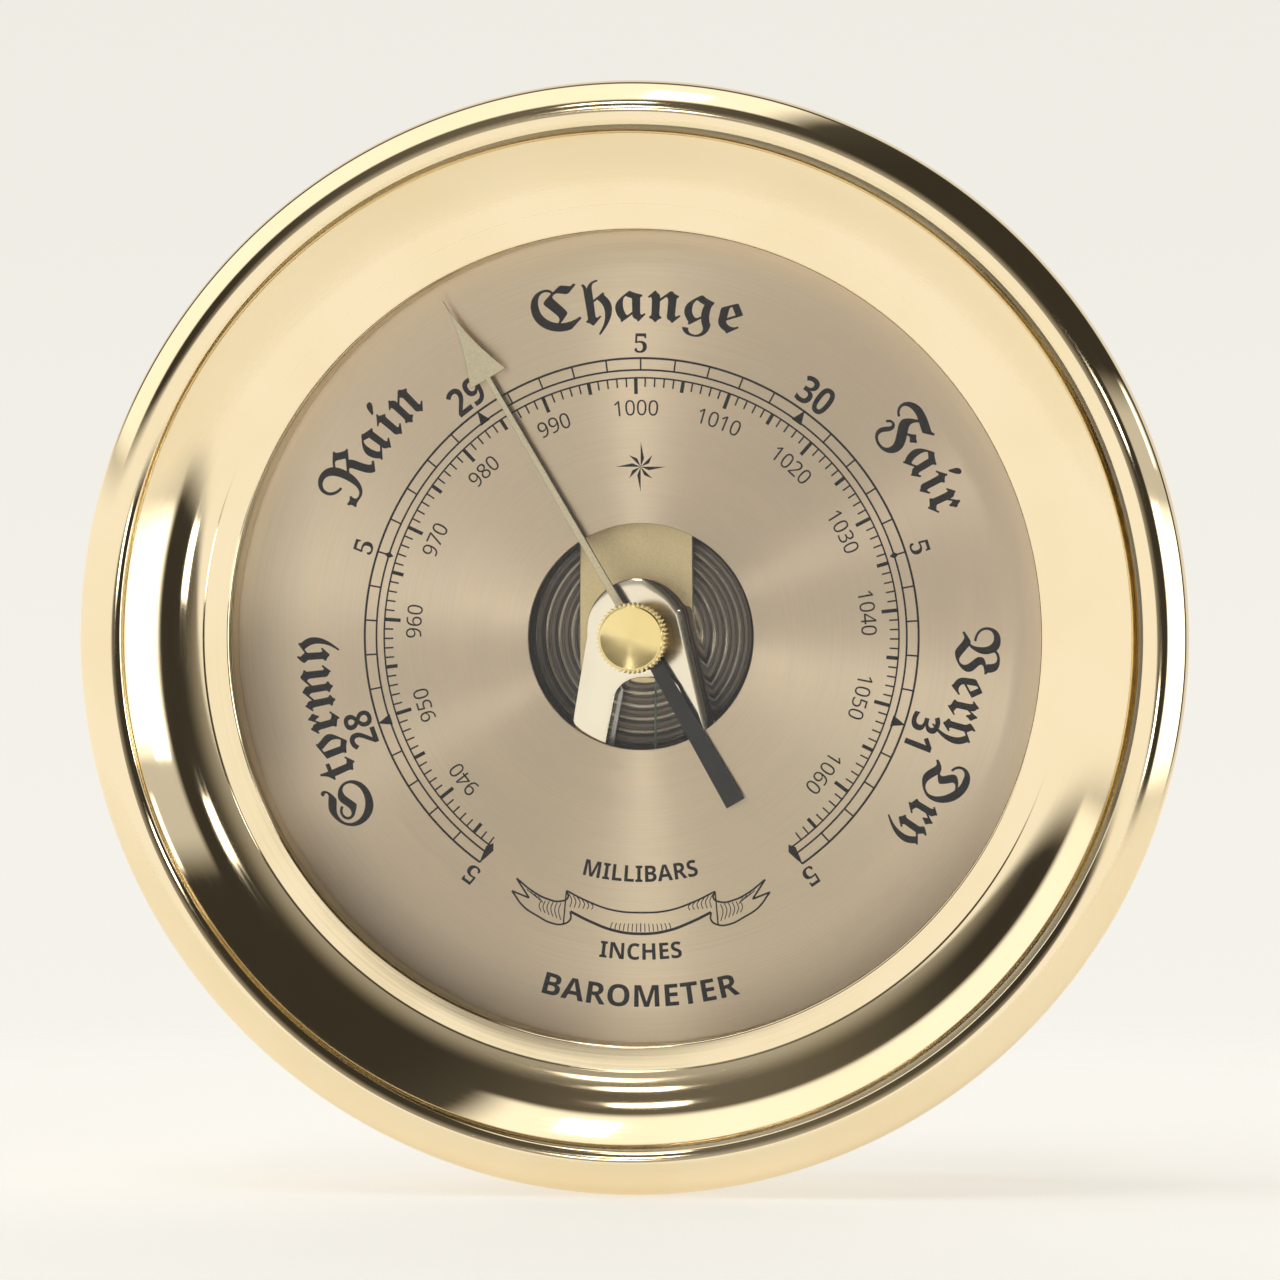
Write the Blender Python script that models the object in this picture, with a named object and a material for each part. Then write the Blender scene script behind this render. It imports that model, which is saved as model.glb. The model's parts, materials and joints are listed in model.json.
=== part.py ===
"""Aneroid barometer in a round spun brass case.

The dial faces -Y and the wall is behind it, with +Z up and +X to the viewer's
right. The origin is the centre of the back face. Sizes below are millimetres,
and "forward" is the distance in front of the wall.
"""

import math

import bpy
import bmesh
from mathutils import Matrix

MM = 0.001
GAP = 0.3  # clearance between pieces that touch

# Case
BEZEL_RADIUS = 70.0
EDGE_ROLL = 2.0  # radius of the rolled outer edge
EDGE_FORWARD = 39.65  # centre of the rolled edge
CREST_RADIUS = 65.9
CREST_FORWARD = 42.9
WALL = 1.3  # thickness of the spun sheet
COVE_RADIUS = 13.5
COVE_CENTRE = (53.6, 50.65)
OPENING_RADIUS = 51.4  # the hole that the dial is seen through
LIP_FORWARD = 36.95
SEAT_FORWARD = 35.9
SLEEVE_INNER = 53.0
SLEEVE_OUTER = 54.4
SLEEVE_BACK = 22.0
DRUM_INNER = 55.0
DRUM_OUTER = 56.0
DRUM_FRONT = 34.5
FLANGE_INNER = 49.5
FLANGE_BACK = 1.7
FLANGE_FRONT = 2.9
COVER_RADIUS = 54.6
COVER_THICKNESS = 1.4
COVER_SCREW_CIRCLE = 51.6
BEZEL_SCREW_FORWARD = 28.0

# Keyhole that the case hangs by
KEYHOLE_HEIGHT = 36.0
KEYHOLE_RADIUS = 4.5
KEYHOLE_SLOT = 2.25
KEYHOLE_TOP = 42.0

# Front of the instrument
GLASS_RADIUS = 52.6
GLASS_BACK = 33.0
GLASS_FRONT = 35.0
RING_INNER = 51.6
RING_OUTER = 52.4
DIAL_RADIUS = 52.2
DIAL_BACK = 26.9
DIAL_FRONT = 27.5
DIAL_HOLE = 14.4
PILLAR_CIRCLE = 44.0

# Hands, as angles clockwise from the top
HAND_ANGLE = math.radians(-30.1)
SET_HAND_ANGLE = math.radians(-30.3)
HAND_BACK = 28.6
HAND_THICKNESS = 0.4
HAND_TIP = 40.0
TAIL_LENGTH = 24.4
SET_HAND_BACK = 30.3
ARROW_BASE = 38.0
ARROW_TIP = 49.4
ARROW_WIDTH = 5.2
KNOB_RADIUS = 4.5
KNOB_BACK = 36.0
KNOB_FRONT = 39.7
KNOB_TEETH = 36
SPINDLE_RADIUS = 1.0

# Movement
PLATE_RADIUS = 48.5
PLATE_BACK = 8.0
PLATE_FRONT = 9.6
BRIDGE_BACK = 24.4
BRIDGE_FRONT = 25.8
BRIDGE_HEAD = 6.6
BRIDGE_HEAD_CENTRE = (-0.5, 0.8)
BRIDGE_RISER = -29.0  # height at which the legs bend back
SOLE_LENGTH = 6.5
SOLE_THICKNESS = 0.9
ARBOR_RADIUS = 0.6
DRUM_RADIUS = 1.0
SPRING_AXIS = 24.5  # height of the line that the mainspring flexes about
BAND_BACK = 18.8
BAND_FRONT = 19.8
BAND_WIDTH = 14.5
BAND_X = -1.4
BAND_BOTTOM = -5.6
BAND_TOP = 29.0
CLAMP_HALF = 9.0
CLAMP_FRONT = 21.5
CLAMP_SCREW_X = 5.5
LEVER_BACK = 17.6
LEVER_FRONT = 18.5
CAPSULE_X = -0.8
CAPSULE_RADIUS = 15.5
RIDGE_PITCH = 1.7
FIRST_RIDGE = 5.9
RIDGE_COUNT = 5
SHAFT_HEIGHT = -24.0
SHAFT_FORWARD = 12.0
ARM_LENGTH = 9.5
CHAIN_X = 1.45


for old in list(bpy.data.objects):
    bpy.data.objects.remove(old, do_unlink=True)


def finish(name, colour, roughness, metallic=1.0):
    material = bpy.data.materials.new(name)
    material.use_nodes = True
    shader = material.node_tree.nodes["Principled BSDF"]
    shader.inputs["Base Color"].default_value = (*colour, 1.0)
    shader.inputs["Roughness"].default_value = roughness
    shader.inputs["Metallic"].default_value = metallic
    return material


POLISHED = finish("polished_brass", (0.90, 0.72, 0.38), 0.12)
DIAL_BRASS = finish("dial_brass", (0.72, 0.56, 0.40), 0.35)
MATTE_BRASS = finish("matte_brass", (0.62, 0.50, 0.30), 0.55)
PLAIN_BRASS = finish("plain_brass", (0.78, 0.62, 0.34), 0.35)
BLACK_STEEL = finish("black_steel", (0.03, 0.03, 0.035), 0.5, 0.4)
STEEL = finish("steel", (0.55, 0.55, 0.56), 0.3)
SILVER = finish("nickel_silver", (0.80, 0.79, 0.76), 0.25)
GLASS = finish("clear_glass", (0.9, 0.95, 0.93), 0.02, 0.0)
RUBBER = finish("black_gasket", (0.03, 0.03, 0.03), 0.8, 0.0)
THREAD = finish("waxed_thread", (0.25, 0.35, 0.28), 0.7, 0.0)


def add_object(name, bm, material, location=(0.0, 0.0, 0.0)):
    bmesh.ops.recalc_face_normals(bm, faces=bm.faces)
    mesh = bpy.data.meshes.new(name)
    bm.to_mesh(mesh)
    bm.free()
    mesh.materials.append(material)
    mesh.shade_smooth()
    mesh.set_sharp_from_angle(angle=math.radians(35))
    obj = bpy.data.objects.new(name, mesh)
    obj.location = [value * MM for value in location]
    bpy.context.scene.collection.objects.link(obj)
    return obj


def arc(centre, radius, start, end, steps):
    """Points of an arc in degrees, measured from the first axis to the second."""
    points = []
    for step in range(steps + 1):
        angle = math.radians(start + (end - start) * step / steps)
        points.append((centre[0] + radius * math.cos(angle),
                       centre[1] + radius * math.sin(angle)))
    return points


def turned(name, profile, material, segments=64, axis=(0.0, 0.0)):
    """Turn a profile of (radius, forward) points about a line along Y."""
    bm = bmesh.new()
    points = [bm.verts.new((r * MM, -f * MM, 0.0)) for r, f in profile]
    following = points[1:]
    if profile[0][0] > 0.0:
        following = points[1:] + points[:1]
    edges = [bm.edges.new(pair) for pair in zip(points, following)]
    bmesh.ops.spin(bm, geom=points + edges, cent=(0, 0, 0), axis=(0, 1, 0),
                   angle=math.tau, steps=segments, use_merge=True)
    bmesh.ops.remove_doubles(bm, verts=bm.verts, dist=1e-6)
    return add_object(name, bm, material, (axis[0], 0.0, axis[1]))


def plate(name, outline, back, front, material, location=(0.0, 0.0, 0.0)):
    """Extrude an outline of (x, z) points from one forward distance to another."""
    bm = bmesh.new()
    corners = [bm.verts.new((x * MM, -back * MM, z * MM)) for x, z in outline]
    face = bm.faces.new(corners)
    made = bmesh.ops.extrude_face_region(bm, geom=[face])
    moved = [item for item in made["geom"] if isinstance(item, bmesh.types.BMVert)]
    bmesh.ops.translate(bm, verts=moved, vec=(0.0, -(front - back) * MM, 0.0))
    return add_object(name, bm, material, location)


def rod(name, radius, back, front, material, segments=12, axis=(0.0, 0.0)):
    last = 360.0 - 360.0 / segments
    circle = arc((0.0, 0.0), radius, 0.0, last, segments - 1)
    return plate(name, circle, back, front, material, (axis[0], 0.0, axis[1]))


def block(name, left, right, bottom, top, back, front, material, location=(0.0, 0.0, 0.0)):
    outline = [(left, bottom), (right, bottom), (right, top), (left, top)]
    return plate(name, outline, back, front, material, location)


def combine(obj, tool, operation):
    """Cut or join a helper shape, which is then only a guide."""
    tool.hide_render = True
    tool.display_type = "WIRE"
    modifier = obj.modifiers.new(tool.name, "BOOLEAN")
    modifier.operation = operation
    modifier.solver = "EXACT"
    modifier.object = tool


def cut(obj, tool):
    combine(obj, tool, "DIFFERENCE")


def join(obj, tool):
    combine(obj, tool, "UNION")


def around(count, radius, first=0.0):
    """Evenly spaced (x, z) places, clockwise from the top."""
    places = []
    for index in range(count):
        angle = math.radians(first) + math.tau * index / count
        places.append((radius * math.sin(angle), radius * math.cos(angle)))
    return places


def screw(name, place, back, head, shank_end, material=STEEL, radius=0.9):
    """A screw whose head is at the smaller forward distance, seen from behind."""
    profile = [(0.0, back), (radius * 2, back), (radius * 2, back + head),
               (radius, back + head), (radius, shank_end), (0.0, shank_end)]
    return turned(name, profile, material, 12, place)


# ---- Bezel: rolled edge, crest, cove, lip and sleeve, spun from one sheet
roll_centre = (BEZEL_RADIUS - EDGE_ROLL, EDGE_FORWARD)
lip_start = -85.0  # where the cove leaves the lip
cove_end = -37.0  # where the cove meets the crest
bezel_profile = [(SLEEVE_INNER, SLEEVE_BACK), (SLEEVE_OUTER, SLEEVE_BACK)]
bezel_profile += [(SLEEVE_OUTER, SEAT_FORWARD - GAP)]
bezel_profile += arc(COVE_CENTRE, COVE_RADIUS + WALL, lip_start + 1, -42.0, 3)
bezel_profile += [(CREST_RADIUS - 0.3, CREST_FORWARD - WALL)]
bezel_profile += arc(roll_centre, EDGE_ROLL - 1.1, 40.0, -120.0, 3)
bezel_profile += arc(roll_centre, EDGE_ROLL, -120.0, 40.0, 4)
bezel_profile += [(CREST_RADIUS + 2.4, CREST_FORWARD - 0.85), (CREST_RADIUS + 1.4, CREST_FORWARD - 0.3)]
bezel_profile += [(CREST_RADIUS, CREST_FORWARD), (CREST_RADIUS - 0.8, CREST_FORWARD - 0.1)]
bezel_profile += arc(COVE_CENTRE, COVE_RADIUS, cove_end, lip_start, 6)
bezel_profile += [(OPENING_RADIUS + 0.4, LIP_FORWARD), (OPENING_RADIUS, LIP_FORWARD - 0.3)]
bezel_profile += [(OPENING_RADIUS, SEAT_FORWARD), (SLEEVE_INNER, SEAT_FORWARD)]
bezel = turned("bezel", bezel_profile, POLISHED, 48)

# ---- Drum with the flange that the back cover screws to
drum_profile = [(DRUM_INNER, DRUM_FRONT), (DRUM_OUTER, DRUM_FRONT), (DRUM_OUTER, 0.2),
                (DRUM_INNER, 0.2), (DRUM_INNER, FLANGE_BACK), (FLANGE_INNER, FLANGE_BACK),
                (FLANGE_INNER, FLANGE_FRONT), (DRUM_INNER, FLANGE_FRONT)]
drum = turned("case_drum", drum_profile, PLAIN_BRASS, 48)

# ---- Back cover
cover = rod("back_cover", COVER_RADIUS, 0.0, COVER_THICKNESS, PLAIN_BRASS, 48)
keyhole_outline = arc((0.0, KEYHOLE_TOP), KEYHOLE_SLOT, 0.0, 180.0, 6)
slot_meets = math.degrees(math.asin(KEYHOLE_SLOT / KEYHOLE_RADIUS))
keyhole_outline += arc((0.0, KEYHOLE_HEIGHT), KEYHOLE_RADIUS, 90.0 + slot_meets,
                       450.0 - slot_meets, 20)
cut(cover, plate("keyhole_cutter", keyhole_outline, -1.0, 3.0, PLAIN_BRASS))
cut(cover, rod("adjuster_hole_cutter", 3.0, -1.0, 3.0, PLAIN_BRASS, 20, (0.0, SPRING_AXIS)))
for index, place in enumerate(around(4, 14.0, 45.0)):
    cut(cover, rod(f"vent_cutter_{index}", 1.0, -1.0, 3.0, PLAIN_BRASS, 10, place))

screw_hole = [(0.0, -1.0), (2.1, -1.0), (2.1, 0.8), (1.2, 0.8), (1.2, 4.9), (0.0, 4.9)]
for index, place in enumerate(around(4, COVER_SCREW_CIRCLE, 45.0)):
    hole = turned(f"cover_screw_hole_{index}", screw_hole, PLAIN_BRASS, 12, place)
    cut(cover, hole)
    cut(drum, hole)
    screw(f"cover_screw_{index + 1}", place, 0.1, 0.4, 4.6)

# ---- Pocket behind the keyhole, which the wall screw's head goes into
pocket = block("hanger_pocket", -7.0, 7.0, 30.3, 45.5, COVER_THICKNESS + GAP, 7.2, PLAIN_BRASS)
cut(pocket, block("pocket_cutter", -6.2, 6.2, 31.1, 44.7, 0.0, 6.4, PLAIN_BRASS))

# ---- Base plate on three spacers, screwed through the cover
base = rod("base_plate", PLATE_RADIUS, PLATE_BACK, PLATE_FRONT, PLAIN_BRASS, 48)
case_hole = [(0.0, -1.0), (2.1, -1.0), (2.1, 0.8), (1.2, 0.8), (1.2, 10.0), (0.0, 10.0)]
for index, place in enumerate(around(3, 30.0, 60.0)):
    hole = turned(f"case_hole_{index}", case_hole, PLAIN_BRASS, 12, place)
    cut(cover, hole)
    cut(base, hole)
    tube = [(1.2, COVER_THICKNESS + GAP), (2.6, COVER_THICKNESS + GAP),
            (2.6, PLATE_BACK - GAP), (1.2, PLATE_BACK - GAP)]
    turned(f"case_spacer_{index + 1}", tube, PLAIN_BRASS, 12, place)
    screw(f"case_screw_{index + 1}", place, 0.1, 0.4, 9.3)

# ---- Pillars that carry the dial
for index, place in enumerate(around(3, PILLAR_CIRCLE, 0.0)):
    cut(base, rod(f"pillar_hole_{index}", 1.5, 7.0, 11.0, PLAIN_BRASS, 12, place))
    pillar = [(0.0, 7.2), (1.2, 7.2), (1.2, PLATE_FRONT + GAP), (2.5, PLATE_FRONT + GAP),
              (2.5, DIAL_BACK - GAP), (0.0, DIAL_BACK - GAP)]
    turned(f"dial_pillar_{index + 1}", pillar, PLAIN_BRASS, 12, place)

# ---- Radial screws that hold the bezel to the drum
for index in range(3):
    turn = Matrix.Rotation(math.tau * (index + 0.5) / 3, 4, "Y")
    hole = rod(f"bezel_hole_{index}", 1.2, SLEEVE_INNER - 2.0, DRUM_OUTER + 2.0, PLAIN_BRASS, 12)
    stem = [(0.0, 53.5), (0.9, 53.5), (0.9, DRUM_OUTER + GAP), (1.8, DRUM_OUTER + GAP),
            (1.8, DRUM_OUTER + 1.0), (0.0, DRUM_OUTER + 1.0)]
    bezel_screw = turned(f"bezel_screw_{index + 1}", stem, STEEL, 12)
    for piece in (hole, bezel_screw):
        upright = Matrix.Rotation(math.radians(-90), 4, "X")
        piece.data.transform(upright)
        piece.location = turn @ piece.location
        piece.rotation_euler = turn.to_euler()
        piece.location.y = -BEZEL_SCREW_FORWARD * MM
    cut(drum, hole)
    cut(bezel, hole)

# ---- Glass, its gasket and the polished ring that holds it to its seat
glass_profile = [(SPINDLE_RADIUS + GAP, GLASS_BACK), (GLASS_RADIUS, GLASS_BACK),
                 (GLASS_RADIUS, GLASS_FRONT), (SPINDLE_RADIUS + GAP, GLASS_FRONT)]
turned("glass", glass_profile, GLASS, 36)
gasket_profile = [(OPENING_RADIUS + GAP, GLASS_FRONT + GAP), (GLASS_RADIUS, GLASS_FRONT + GAP),
                  (GLASS_RADIUS, SEAT_FORWARD - GAP), (OPENING_RADIUS + GAP, SEAT_FORWARD - GAP)]
turned("glass_gasket", gasket_profile, RUBBER, 36)
ring_profile = [(RING_INNER, DIAL_FRONT + GAP), (RING_OUTER, DIAL_FRONT + GAP),
                (RING_OUTER, GLASS_BACK - GAP), (RING_INNER, GLASS_BACK - GAP)]
turned("reflector_ring", ring_profile, POLISHED, 48)

# ---- Dial
dial_profile = [(DIAL_HOLE, DIAL_BACK), (DIAL_RADIUS, DIAL_BACK),
                (DIAL_RADIUS, DIAL_FRONT), (DIAL_HOLE, DIAL_FRONT)]
turned("dial", dial_profile, DIAL_BRASS, 48)

# ---- Indicating hand on its arbor
tail = [(-1.3, -TAIL_LENGTH), (1.3, -TAIL_LENGTH), (0.85, -1.8)]
shoulder = arc((0.0, 0.0), 1.9, -58.0, 74.0, 5)
tip = [(0.35, 4.5), (0.12, HAND_TIP), (-0.12, HAND_TIP), (-0.35, 4.5)]
shoulder_left = arc((0.0, 0.0), 1.9, 106.0, 238.0, 5)
hand = plate("indicating_hand", tail + shoulder + tip + shoulder_left + [(-0.85, -1.8)],
             HAND_BACK, HAND_BACK + HAND_THICKNESS, BLACK_STEEL)
cut(hand, rod("hand_hole", ARBOR_RADIUS + GAP, HAND_BACK - 1.0, HAND_BACK + 2.0, BLACK_STEEL, 12))
hand.rotation_euler = (0.0, HAND_ANGLE, 0.0)

arbor_profile = [(0.0, 21.3), (ARBOR_RADIUS, 21.3), (ARBOR_RADIUS, 22.1), (1.7, 22.1),
                 (DRUM_RADIUS, 22.4), (DRUM_RADIUS, 22.8), (1.7, 23.1), (ARBOR_RADIUS, 23.1),
                 (ARBOR_RADIUS, 27.5), (1.6, 27.5), (1.6, HAND_BACK - GAP),
                 (ARBOR_RADIUS, HAND_BACK - GAP), (ARBOR_RADIUS, 29.4), (0.0, 29.4)]
turned("pointer_arbor", arbor_profile, STEEL, 16)

# ---- Set hand: slender arm and an arrowhead with hollow sides
arrow_side = []
for step in range(7):
    along = step / 6
    half = ARROW_WIDTH / 2 * (1.0 - along) ** 1.8
    arrow_side.append((max(half, 0.06), ARROW_BASE + (ARROW_TIP - ARROW_BASE) * along))
arrow_back = [(-x, z) for x, z in reversed(arrow_side)]
set_outline = arc((0.0, 0.0), 2.4, -90.0, 80.0, 6) + [(0.45, ARROW_BASE)] + arrow_side
set_outline += arrow_back + [(-0.45, ARROW_BASE)] + arc((0.0, 0.0), 2.4, 100.0, 240.0, 5)
set_hand = plate("set_hand", set_outline, SET_HAND_BACK, SET_HAND_BACK + HAND_THICKNESS, POLISHED)
cut(set_hand, rod("set_hand_hole", SPINDLE_RADIUS + GAP, 29.0, 32.0, POLISHED, 12))
set_hand.rotation_euler = (0.0, SET_HAND_ANGLE, 0.0)

# ---- Knob, washer, spindle through the glass, and the bush that stands the hand off
knurl = []
for tooth in range(KNOB_TEETH * 2):
    angle = math.tau * tooth / (KNOB_TEETH * 2)
    reach = KNOB_RADIUS - 0.3 * (tooth % 2)
    knurl.append((reach * math.cos(angle), reach * math.sin(angle)))
knob = plate("set_knob", knurl, KNOB_BACK, KNOB_FRONT, POLISHED)
cut(knob, rod("knob_bore", SPINDLE_RADIUS + GAP, KNOB_BACK - 1.0, 38.3, POLISHED, 16))
spindle_profile = [(0.0, 29.6), (1.8, 29.6), (1.8, SET_HAND_BACK - GAP),
                   (SPINDLE_RADIUS, SET_HAND_BACK - GAP), (SPINDLE_RADIUS, 38.0), (0.0, 38.0)]
turned("set_spindle", spindle_profile, STEEL, 16)
bush_profile = [(SPINDLE_RADIUS + GAP, 31.0), (2.2, 31.0), (2.2, GLASS_BACK - GAP),
                (SPINDLE_RADIUS + GAP, GLASS_BACK - GAP)]
turned("spindle_bush", bush_profile, PLAIN_BRASS, 16)
washer_profile = [(SPINDLE_RADIUS + GAP, GLASS_FRONT + GAP), (2.8, GLASS_FRONT + GAP),
                  (2.8, KNOB_BACK - GAP), (SPINDLE_RADIUS + GAP, KNOB_BACK - GAP)]
turned("knob_washer", washer_profile, PLAIN_BRASS, 16)

# ---- Wishbone bridge: round head and two splayed legs, bent back to the base plate
leg_bend = -BRIDGE_RISER
left_foot = (-7.0 - 0.168 * leg_bend, -3.5 - 0.190 * (leg_bend - 7.4))
right_foot = (4.0 + 0.260 * (leg_bend - 7.7), 5.7 + 0.231 * (leg_bend + 3.7))
bridge_outline = [(5.7, 3.7)] + arc(BRIDGE_HEAD_CENTRE, BRIDGE_HEAD, 32.0, 186.0, 14)
bridge_outline += [(left_foot[0], BRIDGE_RISER), (left_foot[1], BRIDGE_RISER), (-3.5, -7.4)]
bridge_outline += [(-2.6, -6.1), (-1.2, -5.4), (0.2, -5.2), (1.7, -5.4), (3.1, -6.2), (4.0, -7.7)]
bridge_outline += [(right_foot[0], BRIDGE_RISER), (right_foot[1], BRIDGE_RISER)]
bridge = plate("wishbone_bridge", bridge_outline, BRIDGE_BACK, BRIDGE_FRONT, POLISHED)
for side, foot in (("left", left_foot), ("right", right_foot)):
    riser = block(f"{side}_riser", foot[0], foot[1], BRIDGE_RISER - 0.8, BRIDGE_RISER + 0.02,
                  PLATE_FRONT + GAP, BRIDGE_FRONT, POLISHED)
    join(bridge, riser)
    sole = block(f"{side}_sole", foot[0], foot[1], BRIDGE_RISER - SOLE_LENGTH, BRIDGE_RISER - 0.7,
                 PLATE_FRONT + GAP, PLATE_FRONT + GAP + SOLE_THICKNESS, POLISHED)
    join(bridge, sole)
    middle = ((foot[0] + foot[1]) / 2, BRIDGE_RISER - 3.6)
    hole = rod(f"{side}_bridge_hole", 1.2, 7.0, 12.0, POLISHED, 14, middle)
    cut(bridge, hole)
    cut(base, hole)
    head = [(0.0, 8.3), (0.9, 8.3), (0.9, 11.1), (1.8, 11.1), (1.8, 12.0), (0.0, 12.0)]
    turned(f"bridge_screw_{side}", head, STEEL, 12, middle)
cut(bridge, rod("bridge_bearing", ARBOR_RADIUS + GAP, 23.0, 27.0, POLISHED, 12))

# ---- Arbor plate behind the bridge, on two spacers
arbor_plate = rod("arbor_plate", 6.0, 20.8, 21.6, PLAIN_BRASS, 32)
cut(arbor_plate, rod("arbor_bearing", ARBOR_RADIUS + GAP, 20.0, 22.0, PLAIN_BRASS, 12))
for index, place in enumerate(around(2, 5.0, 35.0)):
    rod(f"plate_spacer_{index + 1}", 0.8, 21.6 + GAP, BRIDGE_BACK - GAP, PLAIN_BRASS, 12, place)

# ---- Hairspring: a flat spiral ribbon, open at both ends
TURNS = 2.75
INNER_COIL = 1.1
OUTER_COIL = 3.6
RIBBON = 0.14
inside = []
outside = []
for step in range(45):
    angle = math.tau * TURNS * step / 44
    radius = INNER_COIL + (OUTER_COIL - INNER_COIL) * step / 44
    inside.append((radius * math.cos(angle), radius * math.sin(angle)))
    outside.append(((radius + RIBBON) * math.cos(angle), (radius + RIBBON) * math.sin(angle)))
plate("hairspring", outside + inside[::-1], 23.4, 23.8, STEEL)
rod("hairspring_stud", 0.4, 21.9, 24.1, PLAIN_BRASS, 10, (0.0, -4.6))

# ---- Spring block, mainspring band and clamp
spring_block = block("spring_block", BAND_X - CLAMP_HALF, BAND_X + CLAMP_HALF, 20.0, BAND_TOP,
                     PLATE_FRONT + GAP, BAND_BACK - GAP, MATTE_BRASS)
corner = 2.0
half_band = BAND_WIDTH / 2
band_outline = arc((half_band - corner, BAND_BOTTOM + corner), corner, -90.0, 0.0, 3)
band_outline += [(half_band, BAND_TOP), (-half_band, BAND_TOP)]
band_outline += arc((corner - half_band, BAND_BOTTOM + corner), corner, 180.0, 270.0, 3)
band = plate("mainspring_band", [(x + BAND_X, z - SPRING_AXIS) for x, z in band_outline],
             0.0, BAND_FRONT - BAND_BACK, MATTE_BRASS, (0.0, -BAND_BACK, SPRING_AXIS))
clamp = block("spring_clamp", BAND_X - CLAMP_HALF, BAND_X + CLAMP_HALF, 21.0, 28.0,
              BAND_FRONT + GAP, CLAMP_FRONT, MATTE_BRASS)
for index, side in enumerate((-CLAMP_SCREW_X, CLAMP_SCREW_X)):
    place = (BAND_X + side, SPRING_AXIS)
    hole = rod(f"clamp_hole_{index}", 1.2, 12.0, 23.0, MATTE_BRASS, 12, place)
    for piece in (spring_block, band, clamp):
        cut(piece, hole)
    head = [(0.0, 12.4), (0.9, 12.4), (0.9, CLAMP_FRONT + GAP), (1.8, CLAMP_FRONT + GAP),
            (1.8, CLAMP_FRONT + 1.2), (0.0, CLAMP_FRONT + 1.2)]
    turned(f"clamp_screw_{index + 1}", head, STEEL, 12, place)

# ---- Adjusting screw, turned from behind through the back cover
bore = rod("adjuster_bore", 1.9, 7.0, 14.0, MATTE_BRASS, 16, (0.0, SPRING_AXIS))
cut(base, bore)
cut(spring_block, bore)
adjuster_profile = [(0.0, 3.2), (2.6, 3.2), (2.6, 5.0), (1.6, 5.0), (1.6, 13.6), (0.0, 13.6)]
adjuster = turned("adjusting_screw", adjuster_profile, STEEL, 20, (0.0, SPRING_AXIS))
slot = block("adjuster_slot", -3.0, 3.0, -0.4, 0.4, 2.0, 4.0, STEEL, (0.0, 0.0, SPRING_AXIS))
cut(adjuster, slot)

# ---- Capsule: a cup, and a corrugated lid that sinks into it as the air grows heavier
capsule_axis = (CAPSULE_X, 0.0)
cup = [(0.0, 10.5), (CAPSULE_RADIUS, 10.5), (CAPSULE_RADIUS, 15.2),
       (CAPSULE_RADIUS - 0.3, 15.2), (CAPSULE_RADIUS - 0.3, 11.4), (0.0, 11.4)]
turned("capsule_lower", cup, SILVER, 32, capsule_axis)
lid = [(0.0, 15.2), (14.1, 15.2), (14.1, 13.4), (14.9, 13.4), (14.9, 15.8)]
for index in reversed(range(RIDGE_COUNT)):
    crest = FIRST_RIDGE + RIDGE_PITCH * index
    lid += [(crest + RIDGE_PITCH / 2, 16.2), (crest, 17.0)]
lid += [(FIRST_RIDGE - RIDGE_PITCH / 2, 16.2), (FIRST_RIDGE - RIDGE_PITCH, 16.9), (0.0, 16.9)]
turned("capsule_upper", lid, SILVER, 32, capsule_axis)
boss = [(0.0, 17.2), (2.0, 17.2), (2.0, 18.4), (1.2, 18.4), (1.2, 20.4), (0.0, 20.4)]
turned("capsule_boss", boss, STEEL, 16, capsule_axis)
cut(band, rod("boss_hole", 1.6, 18.0, 21.0, MATTE_BRASS, 12, capsule_axis))
stud = [(0.0, 4.5), (1.3, 4.5), (1.3, 9.9), (2.6, 9.9), (2.6, 10.2), (0.0, 10.2)]
turned("capsule_stud", stud, STEEL, 16, capsule_axis)
cut(base, rod("stud_hole", 1.6, 7.0, 11.0, PLAIN_BRASS, 12, capsule_axis))
nut = [(1.6, 6.0), (3.2, 6.0), (3.2, PLATE_BACK - GAP), (1.6, PLATE_BACK - GAP)]
turned("capsule_nut", nut, STEEL, 6, capsule_axis)

# ---- Lever arm under the band, with a finger bent back to the crank
lever_outline = [(-6.1, -1.0), (-2.9, -3.2), (-3.3, -7.7), (-4.2, -12.5), (-5.2, -20.0),
                 (-5.2, -26.8), (-7.6, -26.8), (-7.4, -18.0), (-6.6, -8.0)]
lever = plate("lever_arm", [(x, z - SPRING_AXIS) for x, z in lever_outline],
              LEVER_BACK - BAND_BACK, LEVER_FRONT - BAND_BACK, STEEL, (0.0, -BAND_BACK, SPRING_AXIS))
join(lever, block("lever_finger", -7.2, -5.6, -26.6, -25.8, 13.2, LEVER_FRONT - 0.5, STEEL))

# ---- Rocking shaft: pivots, the long arm that pulls the chain, and the short crank
shaft_profile = [(0.0, -10.9), (0.5, -10.9), (0.5, -9.7), (0.9, -9.7), (0.9, 5.7),
                 (0.5, 5.7), (0.5, 6.9), (0.0, 6.9)]
shaft = turned("rocking_shaft", shaft_profile, STEEL, 12)
shaft.data.transform(Matrix.Rotation(math.radians(90), 4, "Z"))
shaft.location = (0.0, -SHAFT_FORWARD * MM, SHAFT_HEIGHT * MM)
arm = block("shaft_arm", CHAIN_X - 0.5, CHAIN_X + 0.5, SHAFT_HEIGHT - 0.4, SHAFT_HEIGHT + 0.4,
            SHAFT_FORWARD, SHAFT_FORWARD + ARM_LENGTH + 0.5, STEEL)
join(shaft, arm)
crank = block("shaft_crank", -7.0, -5.8, SHAFT_HEIGHT - 2.8, SHAFT_HEIGHT,
              SHAFT_FORWARD - 0.4, SHAFT_FORWARD + 0.4, STEEL)
join(shaft, crank)
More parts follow.
